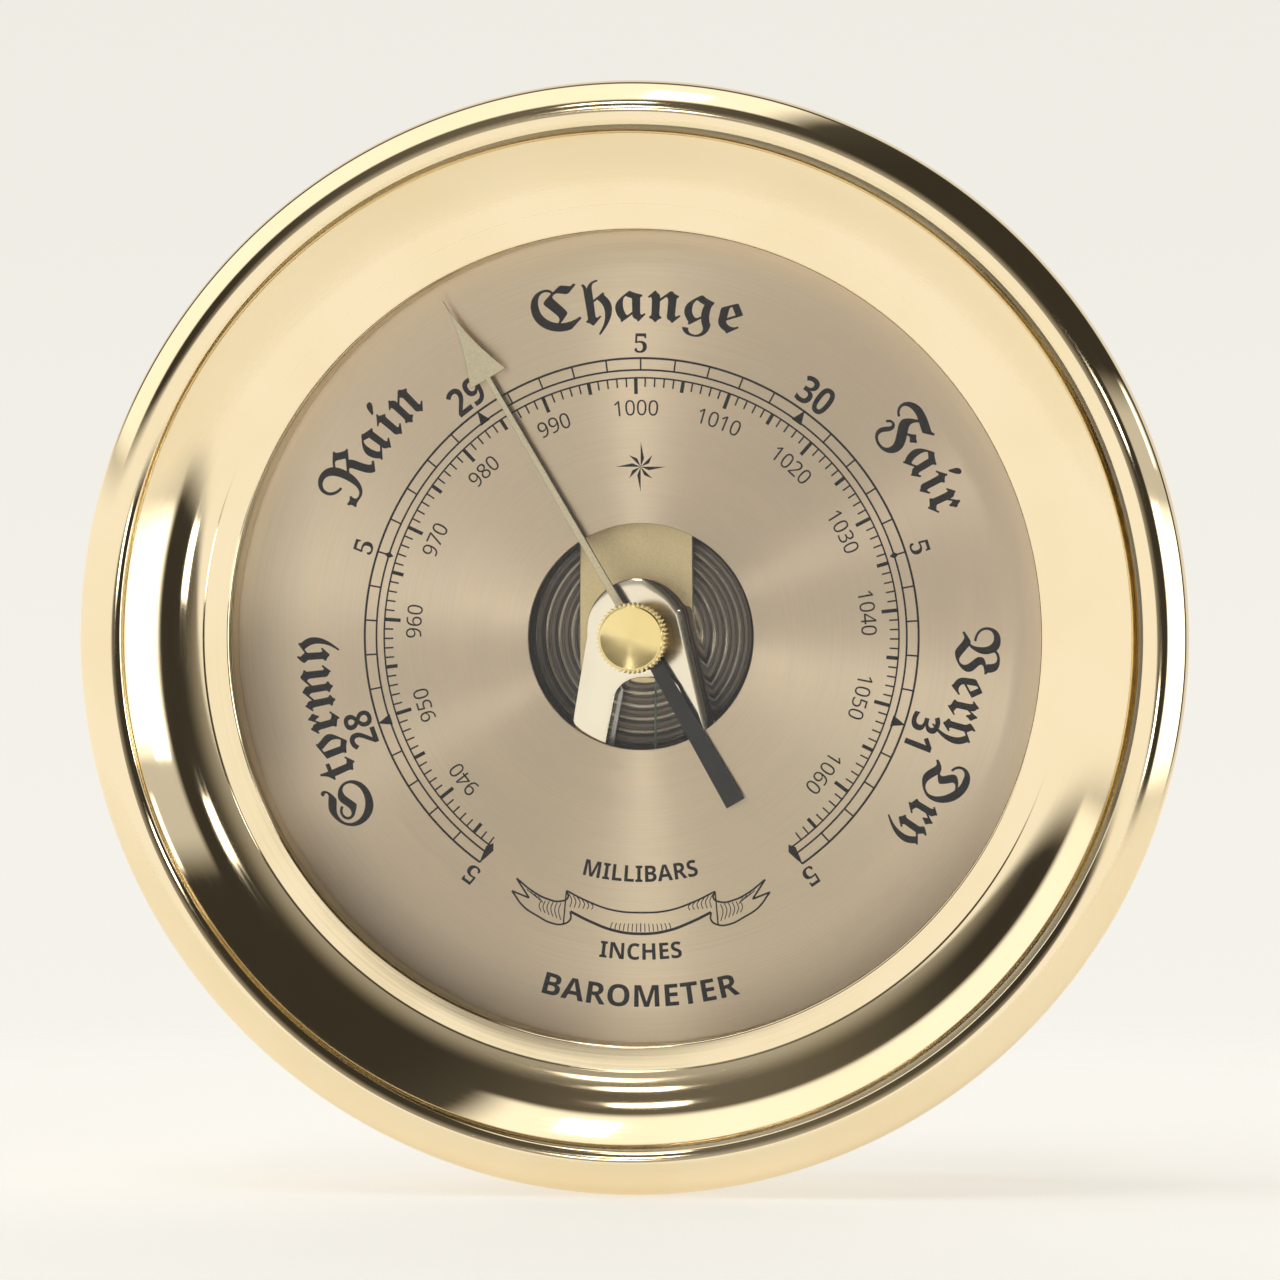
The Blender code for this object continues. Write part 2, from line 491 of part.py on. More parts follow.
for name, left in (("pivot_cock_left", -12.0), ("pivot_cock_right", 6.0)):
    cock = block(name, left, left + 2.0, SHAFT_HEIGHT - 3.0, SHAFT_HEIGHT + 3.0,
                 PLATE_FRONT + GAP, 14.5, PLAIN_BRASS)
    pivot_hole = rod(f"{name}_hole", 0.8, -13.0, 9.0, PLAIN_BRASS, 12)
    pivot_hole.data.transform(Matrix.Rotation(math.radians(90), 4, "Z"))
    pivot_hole.location = shaft.location
    cut(cock, pivot_hole)

# ---- Chain from the arbor's drum straight down to the long arm
chain_length = -SHAFT_HEIGHT - 0.4 - GAP
chain = turned("chain", [(0.0, 0.0), (0.15, 0.0), (0.15, chain_length), (0.0, chain_length)],
               THREAD, 8)
chain.data.transform(Matrix.Rotation(math.radians(90), 4, "X"))
chain.location = (CHAIN_X * MM, -22.6 * MM, 0.0)
chain.rotation_euler = (math.atan2(-1.1, chain_length), 0.0, 0.0)
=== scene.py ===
import json
import math
import bpy
import bmesh
from mathutils import Matrix, Vector


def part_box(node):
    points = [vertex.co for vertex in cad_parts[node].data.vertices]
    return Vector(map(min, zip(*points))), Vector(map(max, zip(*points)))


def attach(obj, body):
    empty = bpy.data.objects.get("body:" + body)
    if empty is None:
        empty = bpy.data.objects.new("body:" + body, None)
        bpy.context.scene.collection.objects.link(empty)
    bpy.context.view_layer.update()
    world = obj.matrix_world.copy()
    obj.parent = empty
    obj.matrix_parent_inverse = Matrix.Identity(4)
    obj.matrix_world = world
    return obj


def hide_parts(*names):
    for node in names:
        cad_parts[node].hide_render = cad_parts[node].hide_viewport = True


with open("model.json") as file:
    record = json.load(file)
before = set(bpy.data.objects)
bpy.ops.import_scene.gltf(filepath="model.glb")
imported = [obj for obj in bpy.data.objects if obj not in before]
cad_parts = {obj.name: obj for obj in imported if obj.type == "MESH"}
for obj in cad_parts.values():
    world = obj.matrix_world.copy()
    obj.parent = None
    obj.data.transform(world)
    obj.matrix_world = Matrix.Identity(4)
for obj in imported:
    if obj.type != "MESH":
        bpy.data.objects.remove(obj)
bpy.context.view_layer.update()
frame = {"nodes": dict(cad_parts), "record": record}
cadNodes = frame["nodes"]
scene = bpy.context.scene
mm = 0.001
turnAxis = (0.0, 1.0, 0.0)
slotOf = {row["node"]: row["material_slot"] for row in frame["record"]["subparts"]}
print("frame loaded with", len(cadNodes), "nodes")


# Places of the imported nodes, in millimetres: forward is the distance in front of the wall.
def axisOf(node):
    low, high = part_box(node)
    return (low.x + high.x) / 2 / mm, (low.z + high.z) / 2 / mm


def radiusOf(node):
    low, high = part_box(node)
    return (high.x - low.x) / 2 / mm


def backOf(node):
    return -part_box(node)[1].y / mm


def frontOf(node):
    return -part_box(node)[0].y / mm


# Small mesh tools
def arcOf(centre, radius, start, end, steps):  # degrees, from the first axis to the second
    turns = [math.radians(start + (end - start) * step / steps) for step in range(steps + 1)]
    return [(centre[0] + radius * math.cos(turn), centre[1] + radius * math.sin(turn)) for turn in turns]


def addRing(bm, profile, segments, axis=(0.0, 0.0)):  # spins (radius, forward) points round a line along Y
    points = [bm.verts.new((radius * mm, -forward * mm, 0.0)) for radius, forward in profile]
    following = points[1:] + points[:1] if profile[0][0] > 0 else points[1:]
    edges = [bm.edges.new(pair) for pair in zip(points, following)]
    kept = set(bm.verts) - set(points)
    bmesh.ops.spin(bm, geom=points + edges, cent=(0, 0, 0), axis=turnAxis, angle=math.tau,
                   steps=segments, use_merge=True)
    made = [vert for vert in bm.verts if vert not in kept]
    bmesh.ops.remove_doubles(bm, verts=made, dist=1e-7)
    made = [vert for vert in bm.verts if vert not in kept]
    bmesh.ops.translate(bm, verts=made, vec=(axis[0] * mm, 0.0, axis[1] * mm))


def addPlate(bm, outline, back, front):  # an outline of (x, z) points given a thickness
    corners = [bm.verts.new((x * mm, -back * mm, z * mm)) for x, z in outline]
    made = bmesh.ops.extrude_face_region(bm, geom=[bm.faces.new(corners)])
    moved = [item for item in made["geom"] if isinstance(item, bmesh.types.BMVert)]
    bmesh.ops.translate(bm, verts=moved, vec=(0.0, (back - front) * mm, 0.0))
    return corners + moved


def addBlock(bm, left, right, bottom, top, back, front):
    return addPlate(bm, [(left, bottom), (right, bottom), (right, top), (left, top)], back, front)


def addRod(bm, radius, back, front, segments, axis=(0.0, 0.0)):
    last = 360.0 - 360.0 / segments
    return addPlate(bm, arcOf(axis, radius, 0.0, last, segments - 1), back, front)


def turnPiece(bm, degrees, verts=None):  # clockwise as the dial is read
    bmesh.ops.rotate(bm, verts=verts or bm.verts, cent=(0, 0, 0),
                     matrix=Matrix.Rotation(math.radians(degrees), 3, "Y"))


def roundEdges(bm, width, segments=2, sharperThan=38.0):
    bmesh.ops.recalc_face_normals(bm, faces=bm.faces)
    sharp = [edge for edge in bm.edges
             if edge.is_manifold and edge.calc_face_angle() > math.radians(sharperThan)]
    bmesh.ops.bevel(bm, geom=sharp, offset=width * mm, offset_type="OFFSET", segments=segments,
                    profile=0.5, affect="EDGES", material=-1, clamp_overlap=True)


def carve(bm, tools):  # takes the tools' shapes out of a mesh
    holders = []
    for number, shape in enumerate([bm] + tools):
        bmesh.ops.recalc_face_normals(shape, faces=shape.faces)
        mesh = bpy.data.meshes.new("carving")
        shape.to_mesh(mesh)
        shape.free()
        holder = bpy.data.objects.new("carving", mesh)
        scene.collection.objects.link(holder)
        holders.append(holder)
        if number:
            step = holders[0].modifiers.new("cut", "BOOLEAN")
            step.operation = "DIFFERENCE"
            step.solver = "EXACT"
            step.object = holder
    bpy.context.view_layer.update()
    carved = bpy.data.meshes.new_from_object(holders[0].evaluated_get(bpy.context.evaluated_depsgraph_get()))
    result = bmesh.new()
    result.from_mesh(carved)
    for holder in holders:
        mesh = holder.data
        bpy.data.objects.remove(holder, do_unlink=True)
        bpy.data.meshes.remove(mesh)
    bpy.data.meshes.remove(carved)
    return result


def makePiece(name, bm, material, body, stands=(), crease=32.0):
    bmesh.ops.remove_doubles(bm, verts=bm.verts, dist=2e-7)
    bmesh.ops.recalc_face_normals(bm, faces=bm.faces)
    mesh = bpy.data.meshes.new(name)
    bm.to_mesh(mesh)
    bm.free()
    mesh.shade_smooth()
    mesh.set_sharp_from_angle(angle=math.radians(crease))
    mesh.materials.append(material)
    piece = bpy.data.objects.new(name, mesh)
    scene.collection.objects.link(piece)
    shading = piece.modifiers.new("evenShading", "WEIGHTED_NORMAL")
    shading.keep_sharp = True
    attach(piece, body)
    if stands:
        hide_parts(*stands)
    return piece


# Small material tools
def addNode(tree, kind, inputs=None, **settings):
    node = tree.nodes.new(kind)
    for key, value in settings.items():
        setattr(node, key, value)
    for key, value in (inputs or {}).items():
        if isinstance(value, bpy.types.NodeSocket):
            tree.links.new(value, node.inputs[key])
        else:
            node.inputs[key].default_value = value
    return node


def maths(tree, operation, first, second=0.0, third=0.0):
    return addNode(tree, "ShaderNodeMath", {0: first, 1: second, 2: third}, operation=operation).outputs[0]


def fade(tree, value, start, end, low=0.0, high=1.0):  # smooth step from start to end
    return addNode(tree, "ShaderNodeMapRange", {"Value": value, "From Min": start, "From Max": end,
                   "To Min": low, "To Max": high}, interpolation_type="SMOOTHSTEP").outputs["Result"]


def mixColours(tree, amount, first, second):
    node = addNode(tree, "ShaderNodeMix", {"Factor": amount}, data_type="RGBA")
    for socket, value in ((node.inputs["A"], first), (node.inputs["B"], second)):
        if isinstance(value, bpy.types.NodeSocket):
            tree.links.new(value, socket)
        else:
            socket.default_value = (*value, 1.0)
    return node.outputs["Result"]


def noiseOf(tree, where, scale, detail=2.0, roughness=0.5):
    return addNode(tree, "ShaderNodeTexNoise", {"Vector": where, "Scale": scale, "Detail": detail,
                   "Roughness": roughness}).outputs["Fac"]


def placeOf(tree):
    return addNode(tree, "ShaderNodeTexCoord").outputs["Object"]


def latheMarks(tree, centre, period, wander):  # noise that runs in rings round an axis, period in mm
    moved = addNode(tree, "ShaderNodeMapping", {"Vector": placeOf(tree),
                    "Location": (-centre[0] * mm, 0.0, -centre[1] * mm)}).outputs[0]
    parts = addNode(tree, "ShaderNodeSeparateXYZ", {0: moved})
    flat = addNode(tree, "ShaderNodeCombineXYZ", {0: parts.outputs[0], 2: parts.outputs[2]}).outputs[0]
    length = addNode(tree, "ShaderNodeVectorMath", {0: flat}, operation="LENGTH").outputs["Value"]
    heading = addNode(tree, "ShaderNodeVectorMath", {0: flat}, operation="NORMALIZE").outputs["Vector"]
    turned = addNode(tree, "ShaderNodeVectorMath", {0: heading, 1: (wander, wander, wander)},
                     operation="MULTIPLY").outputs["Vector"]
    across = maths(tree, "MULTIPLY", maths(tree, "SUBTRACT", length, parts.outputs[1]), 1.0 / (period * mm))
    lines = addNode(tree, "ShaderNodeCombineXYZ", {1: across}).outputs[0]
    where = addNode(tree, "ShaderNodeVectorMath", {0: turned, 1: lines}, operation="ADD").outputs["Vector"]
    return noiseOf(tree, where, 1.0, 2.0)


def newMaterial(name, metallic=1.0):
    material = bpy.data.materials.new(name)
    material.use_nodes = True
    shader = material.node_tree.nodes["Principled BSDF"]
    shader.inputs["Metallic"].default_value = metallic
    return material, material.node_tree, shader


def joinSocket(tree, shader, name, value):
    if isinstance(value, bpy.types.NodeSocket):
        tree.links.new(value, shader.inputs[name])
    else:
        shader.inputs[name].default_value = value


def addBump(tree, shader, height, depth):  # depth in mm
    bump = addNode(tree, "ShaderNodeBump", {"Height": height, "Distance": depth * mm, "Strength": 1.0})
    tree.links.new(bump.outputs["Normal"], shader.inputs["Normal"])


# Brushing in circles round the dial's axis, so that reflections spread along the radius.
def brushRound(tree, shader, amount):
    shader.inputs["Anisotropic"].default_value = amount
    where = addNode(tree, "ShaderNodeSeparateXYZ", {0: placeOf(tree)})
    outward = addNode(tree, "ShaderNodeCombineXYZ", {0: where.outputs[0], 2: where.outputs[2]}).outputs[0]
    outward = addNode(tree, "ShaderNodeVectorMath", {0: outward}, operation="NORMALIZE").outputs["Vector"]
    turned = addNode(tree, "ShaderNodeVectorTransform", {0: outward}, vector_type="VECTOR",
                     convert_from="OBJECT", convert_to="WORLD").outputs[0]
    tree.links.new(turned, shader.inputs["Tangent"])


# Finishes
def spunBrass(name, light, dark, gloss, centre=(0.0, 0.0), period=0.35, markDepth=0.0006, spread=0.05):
    material, tree, shader = newMaterial(name)
    marks = latheMarks(tree, centre, period, 1.5)
    cloud = noiseOf(tree, placeOf(tree), 55.0, 3.0)
    joinSocket(tree, shader, "Base Color", mixColours(tree, fade(tree, cloud, 0.35, 0.68), light, dark))
    uneven = maths(tree, "MULTIPLY", marks, cloud)
    joinSocket(tree, shader, "Roughness", fade(tree, uneven, 0.1, 0.45, gloss, gloss + spread))
    addBump(tree, shader, marks, markDepth)
    return material


def brushedDial():
    material, tree, shader = newMaterial("champagneDial")
    fine = latheMarks(tree, (0.0, 0.0), dialLook["linePeriod"], 2.2)
    broad = latheMarks(tree, (0.0, 0.0), 2.6, 0.8)
    cloud = noiseOf(tree, placeOf(tree), 28.0, 3.0)
    tone = maths(tree, "ADD", maths(tree, "MULTIPLY", fine, 0.55), maths(tree, "MULTIPLY", broad, 0.45))
    lines = mixColours(tree, fade(tree, tone, 0.3, 0.7), dialLook["dark"], dialLook["light"])
    joinSocket(tree, shader, "Base Color", mixColours(tree, fade(tree, cloud, 0.3, 0.75, 0.0, 0.5), lines,
                                                     dialLook["rose"]))
    gloss = dialLook["gloss"]
    joinSocket(tree, shader, "Roughness", fade(tree, tone, 0.25, 0.75, gloss, gloss + 0.06))
    addBump(tree, shader, fine, 0.0012)
    brushRound(tree, shader, dialLook["grain"])
    return material


def grainyMetal(name, light, dark, gloss, grain, depth):  # grain in mm
    material, tree, shader = newMaterial(name)
    place = placeOf(tree)
    fine = noiseOf(tree, place, 1.0 / (grain * mm), 3.0, 0.6)
    cloud = noiseOf(tree, place, 120.0, 3.0)
    mixed = maths(tree, "ADD", maths(tree, "MULTIPLY", fine, 0.6), maths(tree, "MULTIPLY", cloud, 0.4))
    joinSocket(tree, shader, "Base Color", mixColours(tree, fade(tree, mixed, 0.35, 0.65), dark, light))
    joinSocket(tree, shader, "Roughness", fade(tree, cloud, 0.3, 0.7, gloss, gloss + 0.1))
    addBump(tree, shader, fine, depth)
    return material


def dullCoat(name, light, dark, gloss, grain=0.12, depth=0.004):
    material, tree, shader = newMaterial(name, 0.0)
    place = placeOf(tree)
    fine = noiseOf(tree, place, 1.0 / (grain * mm), 3.0)
    joinSocket(tree, shader, "Base Color", mixColours(tree, fade(tree, fine, 0.3, 0.7), dark, light))
    cloud = noiseOf(tree, place, 200.0)
    joinSocket(tree, shader, "Roughness", fade(tree, cloud, 0.3, 0.7, gloss, gloss + 0.12))
    addBump(tree, shader, fine, depth)
    return material


def flatGlass():
    material = bpy.data.materials.new("dialGlass")
    material.use_nodes = True
    tree = material.node_tree
    tree.nodes.remove(tree.nodes["Principled BSDF"])
    bend = addNode(tree, "ShaderNodeFresnel", {"IOR": 1.36}).outputs[0]
    clear = addNode(tree, "ShaderNodeBsdfTransparent", {"Color": (0.985, 0.992, 0.985, 1.0)}).outputs[0]
    smear = noiseOf(tree, placeOf(tree), 60.0, 3.0)
    dulled = fade(tree, smear, 0.4, 0.8, 0.0, 0.03)
    shine = addNode(tree, "ShaderNodeBsdfGlossy", {"Roughness": dulled}).outputs[0]
    both = addNode(tree, "ShaderNodeMixShader", {0: bend, 1: clear, 2: shine}).outputs[0]
    tree.links.new(both, tree.nodes["Material Output"].inputs["Surface"])
    return material


def groovedNickel(name, light, dark, centre, first, pitch):  # bright ridges with painted shade in the valleys
    material, tree, shader = newMaterial(name)
    moved = addNode(tree, "ShaderNodeMapping", {"Vector": placeOf(tree),
                    "Location": (-centre[0] * mm, 0.0, -centre[1] * mm), "Scale": (1.0, 0.0, 1.0)}).outputs[0]
    reach = addNode(tree, "ShaderNodeVectorMath", {0: moved}, operation="LENGTH").outputs["Value"]
    turns = maths(tree, "MULTIPLY", maths(tree, "SUBTRACT", reach, first * mm), math.tau / (pitch * mm))
    raised = fade(tree, maths(tree, "COSINE", turns), -0.35, 0.55)
    middle = fade(tree, reach, (first - 0.4) * mm, (first - 0.8) * mm, 0.0, 0.7)
    raised = maths(tree, "MAXIMUM", raised, middle)
    cloud = noiseOf(tree, placeOf(tree), 160.0, 3.0)
    uneven = maths(tree, "MULTIPLY", raised, fade(tree, cloud, 0.2, 0.6, 0.85, 1.0))
    # painted shade: the valleys between the ridges take the dark colour, the ridges and the flat middle the
    # light one
    joinSocket(tree, shader, "Base Color", mixColours(tree, uneven, dark, light))
    joinSocket(tree, shader, "Roughness", fade(tree, raised, 0.0, 1.0, 0.4, 0.15))
    return material


dialLook = {"light": (1.0, 0.83, 0.61), "dark": (0.95, 0.75, 0.53), "rose": (0.98, 0.76, 0.58),
            "gloss": 0.32, "grain": 1.0, "linePeriod": 0.22}
finishes = {
    "polished_brass": spunBrass("polishedBrass", (0.96, 0.81, 0.545), (0.94, 0.785, 0.51), 0.045),
    "dial_brass": brushedDial(),
    "matte_brass": grainyMetal("blastedBrass", (0.92, 0.74, 0.43), (0.78, 0.60, 0.33), 0.3, 0.14, 0.008),
    "plain_brass": grainyMetal("satinBrass", (0.82, 0.66, 0.38), (0.72, 0.56, 0.30), 0.3, 0.6, 0.003),
    "black_steel": dullCoat("blackenedSteel", (0.05, 0.046, 0.042), (0.03, 0.027, 0.025), 0.5),
    "steel": grainyMetal("satinSteel", (0.62, 0.61, 0.60), (0.50, 0.49, 0.48), 0.24, 0.5, 0.002),
    "nickel_silver": spunBrass("nickelSilver", (0.83, 0.79, 0.72), (0.78, 0.74, 0.66), 0.075,
                               axisOf("capsule_upper"), 0.2, 0.0002, 0.03),
    "clear_glass": flatGlass(),
    "gasket": dullCoat("blackRubber", (0.05, 0.05, 0.048), (0.025, 0.025, 0.024), 0.7),
    "thread": dullCoat("waxedThread", (0.30, 0.40, 0.32), (0.17, 0.25, 0.19), 0.55, 0.08, 0.01),
}
bellows = {"first": 5.85, "pitch": 1.65, "height": 0.42, "level": frontOf("capsule_upper") - 0.42,
           "flat": 14.0, "centre": axisOf("capsule_upper")}
# the lid's dark colour is painted shade for the valleys of its corrugations
lidNickelPaintedValleys = groovedNickel("lidNickelPaintedValleys", (0.95, 0.90, 0.82), (0.24, 0.20, 0.165), bellows["centre"],
                          bellows["first"], bellows["pitch"])
bridgePolish = spunBrass("bridgePolish", (0.97, 0.86, 0.68), (0.93, 0.80, 0.60), 0.09, (0.0, 60.0), 0.4)
ringBrass = spunBrass("ringBrass", (0.97, 0.85, 0.62), (0.93, 0.80, 0.55), 0.36, (0.0, 0.0), 0.3, 0.001)
knobBrass = spunBrass("knobBrass", (0.97, 0.79, 0.40), (0.89, 0.69, 0.30), 0.17, (0.0, 0.0), 0.16, 0.003)
brushRound(knobBrass.node_tree, knobBrass.node_tree.nodes["Principled BSDF"], 0.7)
handBrass = grainyMetal("paleHandBrass", (0.84, 0.73, 0.51), (0.70, 0.59, 0.39), 0.3, 0.25, 0.004)
printInk = dullCoat("printInk", (0.036, 0.025, 0.022), (0.018, 0.012, 0.011), 0.5, 0.2, 0.001)
printInk.node_tree.nodes["Principled BSDF"].inputs["Specular IOR Level"].default_value = 0.18
print("finishes made")

for nodeName, cadNode in cadNodes.items():
    finish = finishes[slotOf[nodeName]]
    if cadNode.data.materials:
        for index in range(len(cadNode.data.materials)):
            cadNode.data.materials[index] = finish
    else:
        cadNode.data.materials.append(finish)

# Bezel: rolled edge, crest, cove, lip and sleeve
rim = {"outer": radiusOf("bezel"), "crest": frontOf("bezel"), "crestRadius": 65.9, "crestRounds": (3.3, 3.6),
       "shoulder": 6.7, "shoulderTurns": (62.0, 41.0), "ridge": (64.62, 42.255, 0.35), "coveRound": 13.5,
       "coveCentre": (53.6, 50.65), "wall": 1.3, "crease": [(54.66, 37.19), (54.58, 37.14), (54.46, 37.15)],
       "sleeve": (53.0, 54.4), "opening": 51.4, "seat": 35.9, "lip": 36.95, "lipRound": 0.35, "segments": 288}


def slide(point, distance, degrees):  # a point moved along a direction
    turn = math.radians(degrees)
    return (point[0] + distance * math.cos(turn), point[1] + distance * math.sin(turn))


innerCentre = (rim["crestRadius"], rim["crest"] - rim["crestRounds"][0])
outerCentre = (rim["crestRadius"], rim["crest"] - rim["crestRounds"][1])
shoulderCentre = slide(outerCentre, rim["crestRounds"][1] - rim["shoulder"],
                       rim["shoulderTurns"][0])
across = math.cos(math.radians(rim["shoulderTurns"][1]))
rollRound = (rim["outer"] - shoulderCentre[0] - rim["shoulder"] * across) / (1.0 - across)
rollRise = slide(shoulderCentre, rim["shoulder"] - rollRound, rim["shoulderTurns"][1])[1]
rollCentre = (rim["outer"] - rollRound, rollRise)
rimProfile = [(rim["sleeve"][0], backOf("bezel")), (rim["sleeve"][1], backOf("bezel")),
              (rim["sleeve"][1], rim["seat"] - 0.3)]
rimProfile += arcOf(rim["coveCentre"], rim["coveRound"] + rim["wall"], -84.0, -42.0, 20)
rimProfile += arcOf(outerCentre, rim["crestRounds"][1] - rim["wall"], 100.0, 63.0, 6)
rimProfile += arcOf(shoulderCentre, rim["shoulder"] - rim["wall"], 61.0, 43.0, 5)
rimProfile += arcOf(rollCentre, rollRound - rim["wall"], 38.0, -140.0, 12)
rimProfile += arcOf(rollCentre, rollRound, -140.0, 0.0, 16)
rimProfile += arcOf(rollCentre, rollRound, 0.0, 40.0, 6)[1:]
rimProfile += arcOf(shoulderCentre, rim["shoulder"], 41.5, 61.5, 10)
rimProfile += arcOf(outerCentre, rim["crestRounds"][1], 62.5, 90.0, 12)
rimProfile += arcOf(innerCentre, rim["crestRounds"][0], 90.0, 116.0, 10)[1:]
rimProfile += arcOf(rim["ridge"][:2], rim["ridge"][2], 118.0, 142.0, 6)
rimProfile += arcOf(rim["coveCentre"], rim["coveRound"], -37.6, -85.0, 44)
rimProfile += rim["crease"]
lipCentre = (rim["opening"] + rim["lipRound"], rim["lip"] - rim["lipRound"])
rimProfile += arcOf(lipCentre, rim["lipRound"], 95.0, 180.0, 8)
rimProfile += [(rim["opening"], rim["seat"] + 0.1), (rim["opening"] + 0.1, rim["seat"]),
               (rim["sleeve"][0], rim["seat"])]
bezel = bmesh.new()
addRing(bezel, rimProfile, rim["segments"])
makePiece("spun_bezel", bezel, finishes["polished_brass"], "case", ("bezel",), crease=50.0)

# Drum, back cover with its keyhole, and the screws that are seen from behind
drum = {"inner": 55.0, "outer": radiusOf("case_drum"), "flange": (49.5, 1.7, 2.9), "segments": 192}
shell = bmesh.new()
addRing(shell, [(drum["inner"], frontOf("case_drum")), (drum["outer"], frontOf("case_drum")),
                (drum["outer"], backOf("case_drum")), (drum["inner"], backOf("case_drum")),
                (drum["inner"], drum["flange"][1]), (drum["flange"][0], drum["flange"][1]),
                (drum["flange"][0], drum["flange"][2]), (drum["inner"], drum["flange"][2])], drum["segments"])
roundEdges(shell, 0.15)
makePiece("drum_wall", shell, finishes["plain_brass"], "case", ("case_drum",))

cover = {"thickness": frontOf("back_cover"), "keyHeight": 36.0, "keyRound": 4.5, "slotHalf": 2.25,
         "slotTop": 42.0, "sink": 0.8, "sinkRound": 2.1, "ventCircle": 14.0, "ventRound": 1.0}
disc = bmesh.new()
addRod(disc, radiusOf("back_cover"), 0.0, cover["thickness"], 192)
meets = math.degrees(math.asin(cover["slotHalf"] / cover["keyRound"]))
keyhole = bmesh.new()
addPlate(keyhole, arcOf((0.0, cover["slotTop"]), cover["slotHalf"], 0.0, 180.0, 20)
         + arcOf((0.0, cover["keyHeight"]), cover["keyRound"], 90.0 + meets, 450.0 - meets, 48), -1.0, 3.0)
coverTools = [keyhole]
adjusterHole = bmesh.new()
addRod(adjusterHole, 3.0, -1.0, 3.0, 48, axisOf("adjusting_screw"))
coverTools.append(adjusterHole)
for corner in range(4):
    turn = math.radians(45 + 90 * corner)
    vent = bmesh.new()
    addRod(vent, cover["ventRound"], -1.0, 3.0, 24,
           (cover["ventCircle"] * math.sin(turn), cover["ventCircle"] * math.cos(turn)))
    coverTools.append(vent)
backScrews = [name for name in sorted(cadNodes) if name.startswith(("cover_screw", "case_screw"))]
for name in backScrews:
    sink = bmesh.new()
    addRod(sink, cover["sinkRound"], -1.0, cover["sink"], 32, axisOf(name))
    coverTools.append(sink)
disc = carve(disc, coverTools)
roundEdges(disc, 0.12, 2)
makePiece("back_disc", disc, finishes["plain_brass"], "case", ("back_cover",))


def slottedScrew(radius, height, shank, length, slot):  # head on top at zero, pointing up +Z
    body = bmesh.new()
    addRing(body, [(0.0, 0.0), (radius * 0.55, -height * 0.05), (radius * 0.85, -height * 0.22),
                   (radius, -height * 0.5), (radius, -height), (shank, -height), (shank, -length),
                   (0.0, -length)], 36)
    groove = bmesh.new()
    addBlock(groove, -radius * 1.2, radius * 1.2, -slot / 2, slot / 2, -height * 0.55, 1.0)
    body = carve(body, [groove])
    roundEdges(body, 0.04, 1, 50.0)
    return body


screwLook = {"head": 1.8, "headHeight": 0.4, "shank": 0.9, "slot": 0.5, "sideHeight": 0.7, "sideLength": 3.5}
for number, name in enumerate(backScrews):
    screw = slottedScrew(screwLook["head"], screwLook["headHeight"], screwLook["shank"],
                         frontOf(name) - backOf(name), screwLook["slot"])
    turnPiece(screw, 37.0 * number + 20.0)
    bmesh.ops.rotate(screw, verts=screw.verts, cent=(0, 0, 0), matrix=Matrix.Rotation(math.pi, 3, "Z"))
    place = axisOf(name)
    bmesh.ops.translate(screw, verts=screw.verts, vec=(place[0] * mm, -backOf(name) * mm, place[1] * mm))
    makePiece("slotted_" + name, screw, finishes["steel"], "case", (name,))
for index in range(3):
    name = f"bezel_screw_{index + 1}"
    low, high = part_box(name)
    screw = slottedScrew(screwLook["head"], screwLook["sideHeight"], screwLook["shank"],
                         screwLook["sideLength"], screwLook["slot"])
    turnPiece(screw, 90.0)
    turn = Matrix.Rotation(math.tau * (index + 0.5) / 3, 3, "Y") @ Matrix.Rotation(math.radians(90), 3, "X")
    bmesh.ops.rotate(screw, verts=screw.verts, cent=(0, 0, 0), matrix=turn)
    outward = (turn @ Vector((0.0, -1.0, 0.0))) * (drum["outer"] + 1.0) * mm
    bmesh.ops.translate(screw, verts=screw.verts, vec=(outward.x, (low.y + high.y) / 2, outward.z))
    makePiece("slotted_" + name, screw, finishes["steel"], "case", (name,))
print("case made")

# Glass, gasket and the ring between the glass and the dial
pane = {"hole": 1.3, "segments": 160, "sealSetback": 0.3}
ring = {"inner": 51.6, "round": 0.2, "segments": 256}


def wallOf(node, inside):  # the section of a plain ring from an inner radius to the node's own
    return [(inside, backOf(node)), (radiusOf(node), backOf(node)), (radiusOf(node), frontOf(node)),
            (inside, frontOf(node))]


glass = bmesh.new()
addRing(glass, wallOf("glass", pane["hole"]), pane["segments"])
makePiece("glass_pane", glass, finishes["clear_glass"], "case", ("glass",))
seal = bmesh.new()
addRing(seal, wallOf("glass_gasket", rim["opening"] + pane["sealSetback"]), pane["segments"])
makePiece("seal_ring", seal, finishes["gasket"], "case", ("glass_gasket",))
spacer = bmesh.new()
addRing(spacer, wallOf("reflector_ring", ring["inner"]), ring["segments"])
roundEdges(spacer, ring["round"], 4)
makePiece("polished_ring", spacer, ringBrass, "case", ("reflector_ring",))

# Dial plate
dialPlate = {"hole": 14.4, "front": frontOf("dial"), "segments": 256}
face = bmesh.new()
addRing(face, wallOf("dial", dialPlate["hole"]), dialPlate["segments"])
roundEdges(face, 0.1, 3)
makePiece("dial_plate", face, finishes["dial_brass"], "case", ("dial",))

# Print on the dial
ink = {"lift": 0.008, "thickness": 0.02}
inkBack = dialPlate["front"] + ink["lift"]
inkFront = inkBack + ink["thickness"]
scale = {"inchDegrees": 72.2, "inchTop": 29.5, "sweep": 144.4, "millibarDegrees": 2.128, "millibarZero": -1.1,
         "outer": (35.4, 0.27), "middle": (33.9, 0.23), "inner": (32.9, 0.21)}


def digits(text, first):  # the same figures in another of the lettering's styles
    return "".join(chr(first + int(figure)) for figure in text)


def oldLetters(text):  # black letter capitals and small letters
    capitals, small = 0x1D56C - ord("A"), 0x1D586 - ord("a")
    return "".join(chr(ord(c) + (capitals if c.isupper() else small)) if c.isalpha() else c for c in text)


